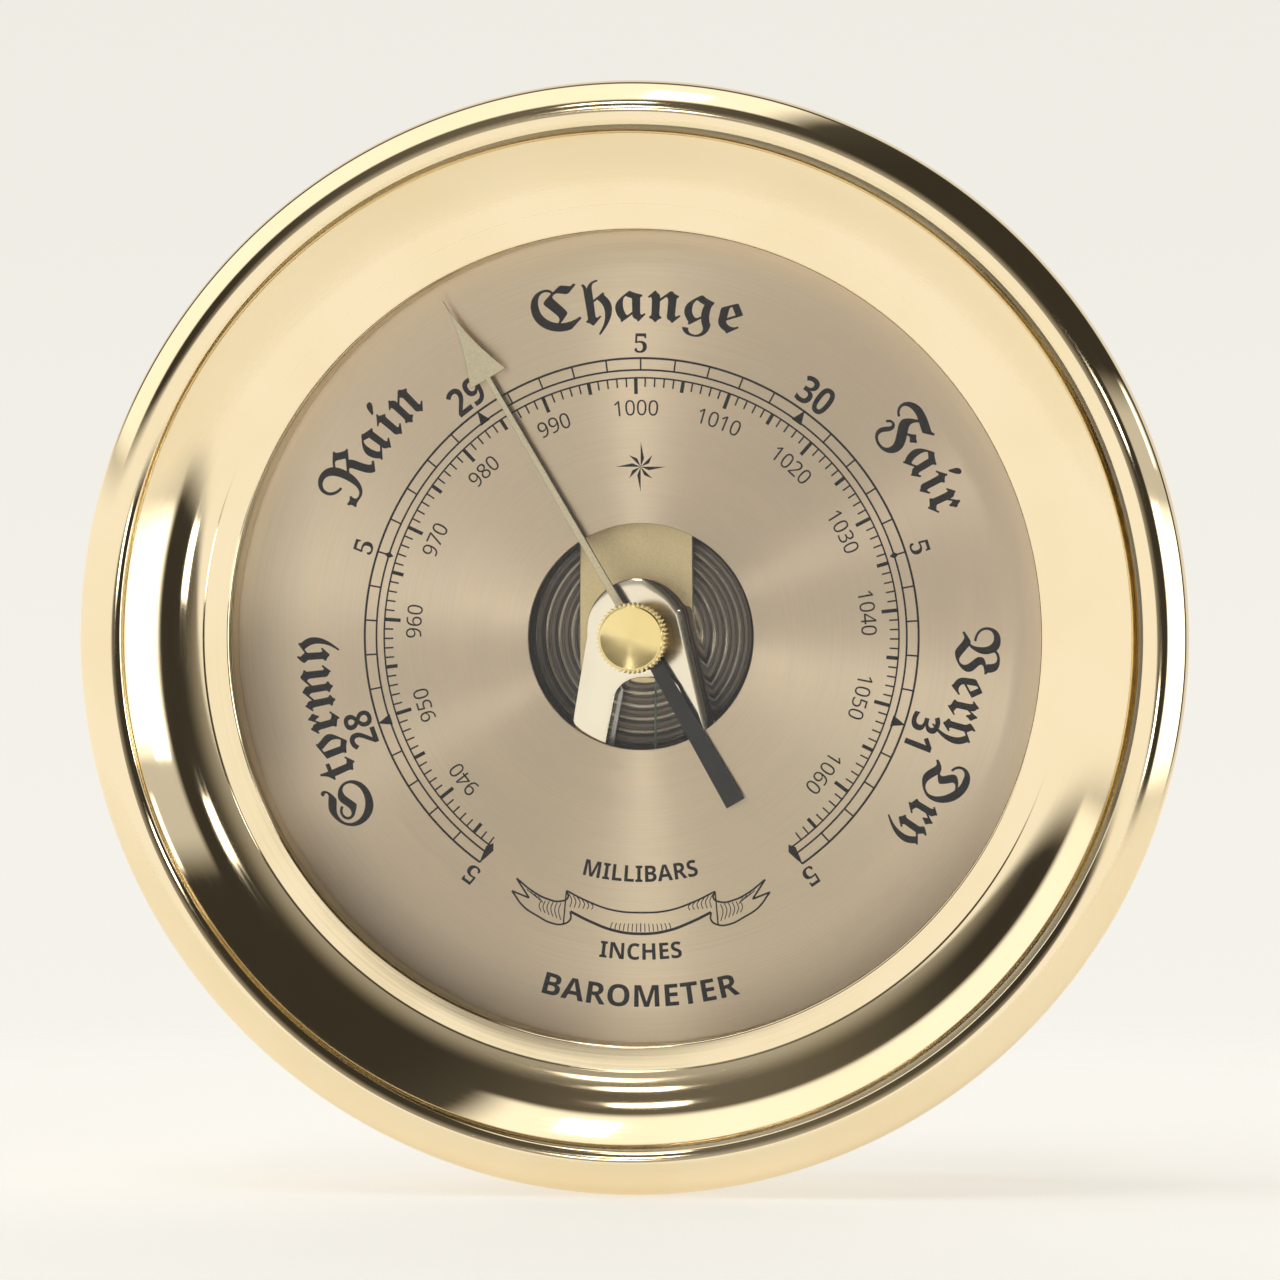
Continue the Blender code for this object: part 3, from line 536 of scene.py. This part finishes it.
def boldLetters(text):
    return "".join(chr(0x1D5D4 + ord(letter) - ord("A")) for letter in text)


def addLettering(bm, words, centre, baseline, wide, tall, upright=False):
    curve = bpy.data.curves.new("lettering", "FONT")
    curve.body = words
    curve.extrude = 0.5
    curve.resolution_u = 4
    holder = bpy.data.objects.new("lettering", curve)
    scene.collection.objects.link(holder)
    bpy.context.view_layer.update()
    mesh = bpy.data.meshes.new_from_object(holder.evaluated_get(bpy.context.evaluated_depsgraph_get()))
    bpy.data.objects.remove(holder, do_unlink=True)
    bpy.data.curves.remove(curve)
    kept = set(bm.verts)
    bm.from_mesh(mesh)
    bpy.data.meshes.remove(mesh)
    letters = [vert for vert in bm.verts if vert not in kept]
    left, right = min(v.co.x for v in letters), max(v.co.x for v in letters)
    widen, raiseBy = wide / (right - left), tall / max(v.co.y for v in letters)
    for vert in letters:
        along = (vert.co.x - (left + right) / 2) * widen / baseline
        height = vert.co.y * raiseBy
        depth = inkBack + (vert.co.z + 0.5) * ink["thickness"]
        turn = math.pi - along if upright else math.radians(centre) + along
        reach = baseline - height if upright else baseline + height
        vert.co = Vector((reach * math.sin(turn), -depth, reach * math.cos(turn))) * mm
    return letters


def addBar(bm, inside, outside, width, degrees):
    made = bmesh.ops.create_cube(bm, size=1.0)["verts"]
    bmesh.ops.scale(bm, verts=made, vec=(width * mm, ink["thickness"] * mm, (outside - inside) * mm))
    bmesh.ops.translate(bm, verts=made,
                        vec=(0.0, -(inkBack + inkFront) / 2 * mm, (inside + outside) / 2 * mm))
    turnPiece(bm, degrees, made)


def addBow(bm, radius, width, sweep):  # an arc of the scale, from -sweep to sweep
    low, high = radius - width / 2, radius + width / 2
    corners = [bm.verts.new((0.0, -forward * mm, reach * mm))
               for forward, reach in ((inkBack, low), (inkBack, high), (inkFront, high), (inkFront, low))]
    start = bm.faces.new(corners)
    bmesh.ops.rotate(bm, verts=corners, cent=(0, 0, 0), matrix=Matrix.Rotation(math.radians(-sweep), 3, "Y"))
    bmesh.ops.spin(bm, geom=[start], cent=(0, 0, 0), axis=turnAxis, angle=math.radians(2 * sweep),
                   steps=144)


def inchTurn(value):
    return (value - scale["inchTop"]) * scale["inchDegrees"]


def millibarTurn(value):
    return (value - 1000) * scale["millibarDegrees"] + scale["millibarZero"]


arcs = bmesh.new()
for radius, width in (scale["outer"], scale["middle"], scale["inner"]):
    addBow(arcs, radius, width, scale["sweep"])
makePiece("scale_arcs", arcs, printInk, "case")

ticks = bmesh.new()
for step in range(-20, 21):
    addBar(ticks, scale["middle"][0], scale["outer"][0], 0.21, step * scale["inchDegrees"] / 10)
for value in range(933, 1068):
    kind = 10 if value % 10 == 0 else 5 if value % 5 == 0 else 1
    length, width = {10: (2.05, 0.46), 5: (1.5, 0.46), 1: (1.16, 0.2)}[kind]
    addBar(ticks, scale["inner"][0] - length, scale["inner"][0], width, millibarTurn(value))
for value in (28, 29, 30, 31):
    wedge = addPlate(ticks, [(-0.72, scale["middle"][0] - 0.2), (0.72, scale["middle"][0] - 0.2),
                             (0.0, scale["outer"][0] + 0.1)], inkBack, inkFront)
    turnPiece(ticks, inchTurn(value), wedge)
for value in (28.5, 30.5):
    lozenge = addPlate(ticks, [(0.0, 33.3), (0.42, 33.9), (0.0, 34.5), (-0.42, 33.9)], inkBack, inkFront)
    turnPiece(ticks, inchTurn(value), lozenge)
for side in (-1, 1):
    endCap = addPlate(ticks, [(0.0, 32.4), (0.55, 33.2), (0.25, 34.6), (0.0, 35.5), (-0.25, 34.6),
                              (-0.55, 33.2)], inkBack, inkFront)
    turnPiece(ticks, side * scale["sweep"], endCap)
makePiece("scale_ticks", ticks, printInk, "case")

figures = bmesh.new()
for value in (28, 29, 30, 31):
    addLettering(figures, digits(str(value), 0x1D7EC), inchTurn(value), 36.1, 4.3, 3.6)
for value in (27.5, 28.5, 29.5, 30.5, 31.5):
    addLettering(figures, digits("5", 0x1D7CE), inchTurn(value), 36.1, 1.55, 2.45)
for value in range(940, 1061, 10):
    text = str(value)
    addLettering(figures, digits(text, 0x1D7E2), millibarTurn(value), 28.15, 1.35 * len(text), 1.96)
makePiece("scale_figures", figures, printInk, "case")

weather = bmesh.new()
weatherWords = {"Stormy": (-107.0, 23.6, 5.6), "Rain": (-54.5, 16.2, 5.8), "Change": (-0.5, 25.6, 5.6),
                "Fair": (58.0, 13.6, 5.8), "Very Dry": (108.0, 27.6, 5.6)}
for words, (centre, wide, tall) in weatherWords.items():
    addLettering(weather, oldLetters(words), centre, 40.2, wide, tall)
makePiece("weather_words", weather, printInk, "case")

units = bmesh.new()
for words, baseline, wide, tall in (("MILLIBARS", 31.2, 15.0, 2.1), ("INCHES", 41.1, 10.7, 2.1),
                                    ("BAROMETER", 47.1, 25.8, 2.8)):
    addLettering(units, boldLetters(words), 180.0, baseline, wide, tall, upright=True)
makePiece("unit_words", units, printInk, "case")

star = {"centre": 21.6, "long": 3.2, "short": 2.1, "waist": 1.15}
mark = bmesh.new()
hollow = (star["waist"] * math.sin(math.radians(22.5)), star["waist"] * math.cos(math.radians(22.5)))
for point in range(8):
    reach = star["long"] if point % 2 == 0 else star["short"]
    half = addPlate(mark, [(0.0, 0.0), hollow, (0.0, reach)], inkBack, inkFront)
    turnPiece(mark, 45.0 * point, half)
bmesh.ops.translate(mark, verts=mark.verts, vec=(0.0, 0.0, star["centre"] * mm))
makePiece("compass_star", mark, printInk, "case")


def addStroke(bm, points, width, smooth=True):  # a drawn line of (x, z) points, as a flattened round line
    curve = bpy.data.curves.new("stroke", "CURVE")
    curve.dimensions = "3D"
    curve.bevel_depth = width / 2
    curve.bevel_resolution = 1
    curve.use_fill_caps = True
    curve.resolution_u = 6
    line = curve.splines.new("BEZIER")
    line.bezier_points.add(len(points) - 1)
    for knot, (x, z) in zip(line.bezier_points, points):
        knot.co = (x, 0.0, z)
        knot.handle_left_type = knot.handle_right_type = "AUTO" if smooth else "VECTOR"
    holder = bpy.data.objects.new("stroke", curve)
    scene.collection.objects.link(holder)
    bpy.context.view_layer.update()
    mesh = bpy.data.meshes.new_from_object(holder.evaluated_get(bpy.context.evaluated_depsgraph_get()))
    bpy.data.objects.remove(holder, do_unlink=True)
    bpy.data.curves.remove(curve)
    flatten = Matrix.Diagonal((mm, ink["thickness"] / width * mm, mm, 1.0))
    mesh.transform(Matrix.Translation((0.0, -(inkBack + inkFront) / 2 * mm, 0.0)) @ flatten)
    bm.from_mesh(mesh)
    bpy.data.meshes.remove(mesh)


scroll = {"line": 0.27, "hatch": 0.14}
ribbon = bmesh.new()
for side in (-1, 1):
    tail = [(15.9, -30.8), (13.9, -32.4), (12.0, -33.4), (10.2, -33.7), (9.3, -33.2), (9.5, -32.35)]
    addStroke(ribbon, [(side * x, z) for x, z in tail], scroll["line"])
    addStroke(ribbon, [(side * x, z) for x, z in ((15.9, -30.8), (14.3, -33.3))], scroll["line"], False)
    addStroke(ribbon, [(side * x, z) for x, z in ((16.5, -32.4), (14.3, -33.3))], scroll["line"], False)
    under = [(16.5, -32.4), (15.0, -34.4), (13.2, -35.6), (11.4, -36.5), (9.9, -36.6), (9.0, -36.0),
             (9.0, -35.0)]
    addStroke(ribbon, [(side * x, z) for x, z in under], scroll["line"])
    addStroke(ribbon, [(side * 9.5, -32.35), (side * 9.7, -34.4), (side * 9.9, -36.6)], scroll["line"] * 0.8)
    for number in range(6):
        start = 9.2 - number * 0.55
        drop = -32.75 - number * 0.22
        addStroke(ribbon, [(side * start, drop), (side * (start - 0.35), drop - 0.75 + number * 0.05),
                           (side * (start - 0.15), drop - 1.7 + number * 0.16)], scroll["hatch"])
    for number in range(6):
        start = 10.2 + number * 0.5
        addStroke(ribbon, [(side * start, -33.95 + number * 0.08),
                           (side * (start + 0.3), -34.8 + number * 0.1),
                           (side * (start + 0.05), -36.1 + number * 0.22)], scroll["hatch"])
    for number in range(4):
        addStroke(ribbon, [(side * (14.6 - number * 0.5), -32.2 - number * 0.3),
                           (side * (13.6 - number * 0.35), -33.0 - number * 0.3)], scroll["hatch"])
topEdge = [(9.5, -32.35), (7.0, -33.6), (3.6, -34.8), (0.0, -35.1)]
lowEdge = [(9.0, -35.0), (6.6, -36.2), (3.4, -37.4), (0.0, -37.8)]
for edge, width in ((topEdge, scroll["line"]), (lowEdge, scroll["line"] * 1.5)):
    addStroke(ribbon, [(-x, z) for x, z in edge] + edge[-2::-1], width)
for number in range(-7, 8):
    x = number * 0.55
    fall = 0.028 * x * x
    addStroke(ribbon, [(x, -37.55 + fall), (x * 0.97, -36.9 + fall - 0.02 * abs(number)),
                       (x * 0.93, -36.45 + fall - 0.05 * abs(number))], scroll["hatch"])
makePiece("scroll_drawing", ribbon, printInk, "case")
print("dial printed")

# Black hand, on its arbor
pointer = {"turn": -30.1, "back": backOf("indicating_hand"), "front": frontOf("indicating_hand"),
           "tip": 40.0, "tail": 24.4, "hub": 1.9}
hand = bmesh.new()
handSides = [(1.3, -pointer["tail"]), (0.85, -1.8)] + arcOf((0.0, 0.0), pointer["hub"], -58.0, 74.0, 10)
handSides += [(0.35, 4.5), (0.12, pointer["tip"])]
addPlate(hand, handSides + [(-x, z) for x, z in reversed(handSides)], pointer["back"], pointer["front"])
bore = bmesh.new()
addRod(bore, 0.9, pointer["back"] - 1.0, pointer["front"] + 1.0, 32)
hand = carve(hand, [bore])
roundEdges(hand, 0.07, 2)
turnPiece(hand, pointer["turn"])
makePiece("black_hand", hand, finishes["black_steel"], "pointer", ("indicating_hand",))

# Set hand: slender arm and a hollow-sided arrowhead
arrow = {"turn": -30.3, "back": backOf("set_hand"), "front": frontOf("set_hand"), "base": 38.0, "tip": 49.4,
         "width": 5.2, "arm": 0.42, "curve": 1.8, "hub": 2.4}
setSides = arcOf((0.0, 0.0), arrow["hub"], -90.0, 78.0, 16) + [(arrow["arm"] - 0.08, arrow["base"])]
for step in range(15):
    along = step / 14
    setSides.append((max(arrow["width"] / 2 * (1.0 - along) ** arrow["curve"], 0.05),
                     arrow["base"] + (arrow["tip"] - arrow["base"]) * along))
setHand = bmesh.new()
addPlate(setHand, setSides + [(-x, z) for x, z in reversed(setSides[1:])], arrow["back"], arrow["front"])
bore = bmesh.new()
addRod(bore, 1.3, arrow["back"] - 1.0, arrow["front"] + 1.0, 32)
setHand = carve(setHand, [bore])
roundEdges(setHand, 0.09, 3)
turnPiece(setHand, arrow["turn"])
makePiece("arrow_hand", setHand, handBrass, "set_hand_assembly", ("set_hand",))

# Knob with straight knurling and a turned face
knob = {"radius": radiusOf("set_knob"), "back": backOf("set_knob"), "front": frontOf("set_knob"), "teeth": 46,
        "toothDepth": 0.46, "faceRound": 4.04, "dish": 0.3, "groove": 0.012, "bore": 1.3}
knurled = bmesh.new()
rimVerts = addRod(knurled, knob["radius"], knob["back"], knob["front"] - 0.35, knob["teeth"] * 2)
valleys = [vert for index, vert in enumerate(rimVerts[:knob["teeth"] * 2]) if index % 2]
valleys += [v for v in rimVerts[knob["teeth"] * 2:]
            if any((Vector((v.co.x, v.co.z)) - Vector((w.co.x, w.co.z))).length < 1e-6 for w in valleys)]
shrink = 1.0 - knob["toothDepth"] / knob["radius"]
bmesh.ops.scale(knurled, verts=valleys, vec=(shrink, 1.0, shrink))
hub = bmesh.new()
addRod(hub, knob["bore"], knob["back"] - 1.0, 38.3, 32)
knurled = carve(knurled, [hub])
faceProfile = [(0.0, knob["front"] - knob["dish"])]
for step in range(1, 37):
    reach = step * (knob["faceRound"] - 0.2) / 36
    sunk = knob["dish"] * (1.0 - (step / 36) ** 2)
    faceProfile.append((reach, knob["front"] - sunk - knob["groove"] * (step % 2)))
faceProfile += arcOf((knob["faceRound"] - 0.16, knob["front"] - 0.16), 0.16, 80.0, 0.0, 6)
faceProfile += [(knob["faceRound"], knob["front"] - 0.5), (0.0, knob["front"] - 0.5)]
addRing(knurled, faceProfile, 128)
makePiece("knurled_knob", knurled, knobBrass, "set_hand_assembly", ("set_knob",), crease=28.0)


def turnedPiece(name, node, profile, material, body, segments=64, softness=0.08):
    bm = bmesh.new()
    addRing(bm, profile, segments, axisOf(node))
    roundEdges(bm, softness, 2)
    return makePiece(name, bm, material, body, (node,))


for name, node in (("turned_bush", "spindle_bush"), ("turned_washer", "knob_washer")):
    turnedPiece(name, node, wallOf(node, knob["bore"]), finishes["plain_brass"], "set_hand_assembly")
spindleWall = [(0.0, backOf("set_spindle")), (1.8, backOf("set_spindle")), (1.8, arrow["back"] - 0.3),
               (1.0, arrow["back"] - 0.3), (1.0, frontOf("set_spindle")), (0.0, frontOf("set_spindle"))]
turnedPiece("turned_spindle", "set_spindle", spindleWall, finishes["steel"], "set_hand_assembly")
arborWall = [(0.0, 21.3), (0.6, 21.3), (0.6, 22.1), (1.7, 22.1), (1.0, 22.4), (1.0, 22.8), (1.7, 23.1),
             (0.6, 23.1), (0.6, 27.5), (1.6, 27.5), (1.6, 28.3), (0.6, 28.3), (0.6, 29.4), (0.0, 29.4)]
turnedPiece("turned_arbor", "pointer_arbor", arborWall, finishes["steel"], "pointer", 48, 0.05)
print("hands and knob made")

# Wishbone bridge with rounded edges
bridge = {"back": backOf("wishbone_bridge"), "front": frontOf("wishbone_bridge"), "centre": (-0.5, 0.8),
          "head": 6.6, "bend": -29.0, "edgeWide": 1.6, "edgeDeep": 1.1, "edgeSteps": 10, "foot": (9.9, 10.8),
          "sole": -35.5}
legDrop = -bridge["bend"]
leftFoot = (-7.0 - 0.168 * legDrop, -3.5 - 0.190 * (legDrop - 7.4))
rightFoot = (4.0 + 0.260 * (legDrop - 7.7), 5.7 + 0.231 * (legDrop + 3.7))
outline = [(5.7, 3.7)] + arcOf(bridge["centre"], bridge["head"], 30.0, 186.0, 36)
outline += [(leftFoot[0], bridge["bend"]), (leftFoot[1], bridge["bend"]), (-3.5, -7.4), (-3.2, -6.75)]
outline += [(-2.5, -6.0), (-1.6, -5.5), (-0.7, -5.25), (0.2, -5.2), (1.2, -5.25), (2.2, -5.6), (3.1, -6.2),
            (3.7, -6.9)]
outline += [(4.0, -7.7), (rightFoot[0], bridge["bend"]), (rightFoot[1], bridge["bend"])]
wishbone = bmesh.new()
addPlate(wishbone, outline, bridge["back"], bridge["front"] - bridge["edgeDeep"])
bmesh.ops.recalc_face_normals(wishbone, faces=wishbone.faces)
frontFace = [min(wishbone.faces, key=lambda shape: shape.calc_center_median().y)]
for step in range(bridge["edgeSteps"]):
    before, after = (math.pi / 2 * turn / bridge["edgeSteps"] for turn in (step, step + 1))
    bmesh.ops.inset_region(wishbone, faces=frontFace, use_even_offset=True,
                           thickness=bridge["edgeWide"] * (math.cos(before) - math.cos(after)) * mm,
                           depth=bridge["edgeDeep"] * (math.sin(after) - math.sin(before)) * mm)
for vert in wishbone.verts:  # the left leg keeps a crisp edge, the right one rolls over
    sunk = vert.co.y + bridge["front"] * mm
    if sunk < (bridge["edgeDeep"] + 0.01) * mm:
        rolled = min(max((vert.co.x / mm - 0.5) / 3.5, 0.0), 1.0)
        vert.co.y = sunk * (0.1 + 0.9 * rolled) - bridge["front"] * mm
bearing = bmesh.new()
addRod(bearing, 0.9, bridge["back"] - 1.0, bridge["front"] + 1.0, 32)
wishbone = carve(wishbone, [bearing])
for left, right in (leftFoot, rightFoot):
    addBlock(wishbone, left, right, bridge["bend"] - 0.8, bridge["bend"] + 0.05, bridge["foot"][0],
             bridge["front"] - 0.1)
    addBlock(wishbone, left, right, bridge["sole"], bridge["bend"] - 0.7, *bridge["foot"])
makePiece("polished_bridge", wishbone, bridgePolish, "case", ("wishbone_bridge",), crease=40.0)

# Mainspring band
leaf = {"left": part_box("mainspring_band")[0].x / mm, "right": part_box("mainspring_band")[1].x / mm,
        "bottom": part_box("mainspring_band")[0].z / mm, "top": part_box("mainspring_band")[1].z / mm,
        "back": backOf("mainspring_band"), "front": frontOf("mainspring_band"), "corner": 2.0}
band = bmesh.new()
inner = leaf["left"] + leaf["corner"], leaf["right"] - leaf["corner"]
rise = leaf["bottom"] + leaf["corner"]
addPlate(band, arcOf((inner[1], rise), leaf["corner"], -90, 0, 10)
         + [(leaf["right"], leaf["top"]), (leaf["left"], leaf["top"])]
         + arcOf((inner[0], rise), leaf["corner"], 180, 270, 10), leaf["back"], leaf["front"])
bandTools = []
for node, size in (("capsule_boss", 1.6), ("clamp_screw_1", 1.2), ("clamp_screw_2", 1.2)):
    tool = bmesh.new()
    addRod(tool, size, leaf["back"] - 1.0, leaf["front"] + 1.0, 32, axisOf(node))
    bandTools.append(tool)
band = carve(band, bandTools)
roundEdges(band, 0.12, 2)
makePiece("blasted_band", band, finishes["matte_brass"], "spring_lever", ("mainspring_band",))

# Capsule: corrugated lid in a plain cup
lid = [(0.0, bellows["level"] + 0.1), (3.4, bellows["level"] + 0.1)]
for step in range(1, 129):
    reach = 3.4 + (bellows["flat"] - 3.4) * step / 128
    wave = math.cos(math.tau * (reach - bellows["first"]) / bellows["pitch"])
    ripple = 0.78 * wave + 0.22 * math.cos(2 * math.acos(wave))
    lid.append((reach, bellows["level"] + bellows["height"] * ripple))
lid += [(14.3, 15.8), (14.9, 15.7), (14.9, backOf("capsule_upper")), (14.1, backOf("capsule_upper")),
        (14.1, 15.2), (0.0, 15.2)]
capsuleLid = bmesh.new()
addRing(capsuleLid, lid, 160, bellows["centre"])
makePiece("corrugated_lid", capsuleLid, lidNickelPaintedValleys, "capsule_top", ("capsule_upper",), crease=50.0)
cupWall = [(0.0, backOf("capsule_lower")), (15.5, backOf("capsule_lower")), (15.5, 15.2), (15.2, 15.2),
           (15.2, 11.4), (0.0, 11.4)]
turnedPiece("capsule_cup", "capsule_lower", cupWall, finishes["nickel_silver"], "case", 128)
bossWall = [(0.0, 17.2), (2.0, 17.2), (2.0, 18.4), (1.2, 18.4), (1.2, 20.4), (0.0, 20.4)]
turnedPiece("turned_boss", "capsule_boss", bossWall, finishes["steel"], "capsule_top")
print("movement made")

# Floor, studio light and camera
studio = {"floor": -0.0702, "floorRadius": 1.2, "fadeStart": 0.16, "fadeEnd": 0.34, "glow": 0.56,
          "white": (1.0, 0.985, 0.955), "dim": (1.0, 0.92, 0.78), "skyTop": (0.862, 0.836, 0.775),
          "skyLow": (0.93, 0.906, 0.845)}
floorShape = bmesh.new()
bmesh.ops.create_circle(floorShape, cap_ends=True, radius=studio["floorRadius"], segments=96,
                        matrix=Matrix.Translation((0.0, 0.0, studio["floor"])))
floorMesh = bpy.data.meshes.new("table_top")
floorShape.to_mesh(floorMesh)
floorShape.free()
floor = bpy.data.objects.new("table_top", floorMesh)
scene.collection.objects.link(floor)
tableLook = bpy.data.materials.new("paleTable")
tableLook.use_nodes = True
tree = tableLook.node_tree
shader = tree.nodes["Principled BSDF"]
shader.inputs["Base Color"].default_value = (0.60, 0.59, 0.565, 1.0)
shader.inputs["Roughness"].default_value = 0.8
shader.inputs["Emission Color"].default_value = (*studio["skyLow"], 1.0)
shader.inputs["Emission Strength"].default_value = studio["glow"]
where = addNode(tree, "ShaderNodeSeparateXYZ", {0: placeOf(tree)})
flat = addNode(tree, "ShaderNodeCombineXYZ", {0: where.outputs[0], 1: where.outputs[1]}).outputs[0]
distance = addNode(tree, "ShaderNodeVectorMath", {0: flat}, operation="LENGTH").outputs["Value"]
joinSocket(tree, shader, "Alpha", fade(tree, distance, studio["fadeStart"], studio["fadeEnd"], 1.0, 0.0))
floorMesh.materials.append(tableLook)

view = {"turn": 6.0, "rise": 1.0, "distance": 0.958, "lens": 214.7, "rimForward": 40.0, "aimRight": 1.22,
        "aimUp": -0.2}
sky = bpy.data.worlds.new("studioLight")
scene.world = sky
sky.use_nodes = True
tree = sky.node_tree
background = tree.nodes["Background"]
heading = addNode(tree, "ShaderNodeTexCoord").outputs["Generated"]
lean = math.radians(-view["turn"])


def alongOf(direction):
    return addNode(tree, "ShaderNodeVectorMath", {0: heading, 1: direction},
                   operation="DOT_PRODUCT").outputs["Value"]


ahead = alongOf((math.sin(lean), -math.cos(lean), 0.0))
toRight = alongOf((math.cos(lean), math.sin(lean), 0.0))
toTop = alongOf((0.0, 0.0, 1.0))
away = maths(tree, "MULTIPLY", maths(tree, "ARCCOSINE", ahead), 180.0 / math.pi)


def clockOf(right, up):  # degrees clockwise from the top
    return maths(tree, "MULTIPLY", maths(tree, "ARCTAN2", right, up), 180.0 / math.pi)


def aroundClock(clock, middle, half, soft):
    offset = maths(tree, "WRAP", maths(tree, "SUBTRACT", clock, middle), 180.0, -180.0)
    return fade(tree, maths(tree, "ABSOLUTE", offset), half + soft, half - soft)


def product(*values):
    total = values[0]
    for value in values[1:]:
        total = maths(tree, "MULTIPLY", total, value)
    return total


# Each light: the middle and half of its reach round the clock, the angles from straight ahead where it
# starts and ends, and its brightness.
lights = {"topBox": (-30.0, 44.0, 53.0, 104.0, 1.2), "rightBox": (92.0, 16.0, 55.0, 106.0, 2.2),
          "rightWall": (94.0, 32.0, 54.0, 106.0, 0.62), "lowerTube": (66.0, 4.0, 30.0, 37.0, 6.0),
          "edgeTube": (66.0, 5.0, 90.0, 98.0, 2.2), "lowTube": (2.5, 4.5, 12.6, 15.4, 8.0),
          "middleTube": (-2.4, 4.5, 22.0, 25.4, 8.0), "highTube": (-4.5, 4.5, 39.0, 43.0, 8.0),
          "sideTube": (102.0, 4.5, 25.0, 31.0, 7.0), "topStrip": (1.0, 3.0, 60.0, 80.0, 6.0),
          "sideStrip": (80.0, 4.0, 57.0, 76.0, 6.0)}
clock = clockOf(toRight, toTop)
shifted = clockOf(maths(tree, "SUBTRACT", toRight, 0.06), maths(tree, "SUBTRACT", toTop, 0.06))
brightness = maths(tree, "MAXIMUM", aroundClock(shifted, -159.0, 82.0, 6.0),
                   maths(tree, "MULTIPLY", fade(tree, away, 112.0, 126.0), 0.8))
for middle, half, nearest, farthest, bright in lights.values():
    soft = min(half / 4, (farthest - nearest) / 4, 4.0)
    region = product(aroundClock(clock, middle, half, soft), fade(tree, away, nearest - soft, nearest + soft),
                     fade(tree, away, farthest + soft, farthest - soft), bright)
    brightness = maths(tree, "MAXIMUM", brightness, region)
shade = maths(tree, "ADD", maths(tree, "MULTIPLY", aroundClock(clock, -12.0, 22.0, 20.0), 0.1), 0.04)
shade = maths(tree, "ADD", shade, fade(tree, away, 30.0, 5.0, 0.0, 0.3))
brightness = maths(tree, "MAXIMUM", brightness, shade)
glow = mixColours(tree, fade(tree, brightness, 0.08, 0.5), studio["dim"], studio["white"])
seen = mixColours(tree, fade(tree, toTop, -0.12, 0.10), studio["skyLow"], studio["skyTop"])
direct = addNode(tree, "ShaderNodeLightPath").outputs["Is Camera Ray"]
tree.links.new(mixColours(tree, direct, glow, seen), background.inputs["Color"])
unseen = maths(tree, "MULTIPLY", brightness, maths(tree, "SUBTRACT", 1.0, direct))
tree.links.new(maths(tree, "ADD", unseen, direct), background.inputs["Strength"])

toCamera = Vector((math.sin(math.radians(view["turn"])) * math.cos(math.radians(view["rise"])),
                   -math.cos(math.radians(view["turn"])) * math.cos(math.radians(view["rise"])),
                   math.sin(math.radians(view["rise"]))))
facing = (-toCamera).to_track_quat("-Z", "Y")
aim = Vector((0.0, -view["rimForward"] * mm, 0.0))
aim += facing @ Vector((view["aimRight"] * mm, view["aimUp"] * mm, 0.0))
lensData = bpy.data.cameras.new("frontCamera")
lensData.lens = view["lens"]
lensData.sensor_width = 36.0
lensData.clip_start = 0.01
camera = bpy.data.objects.new("frontCamera", lensData)
camera.location = aim + toCamera * view["distance"]
camera.rotation_euler = facing.to_euler()
scene.collection.objects.link(camera)
scene.camera = camera
scene.view_settings.view_transform = "Standard"
print("studio made")
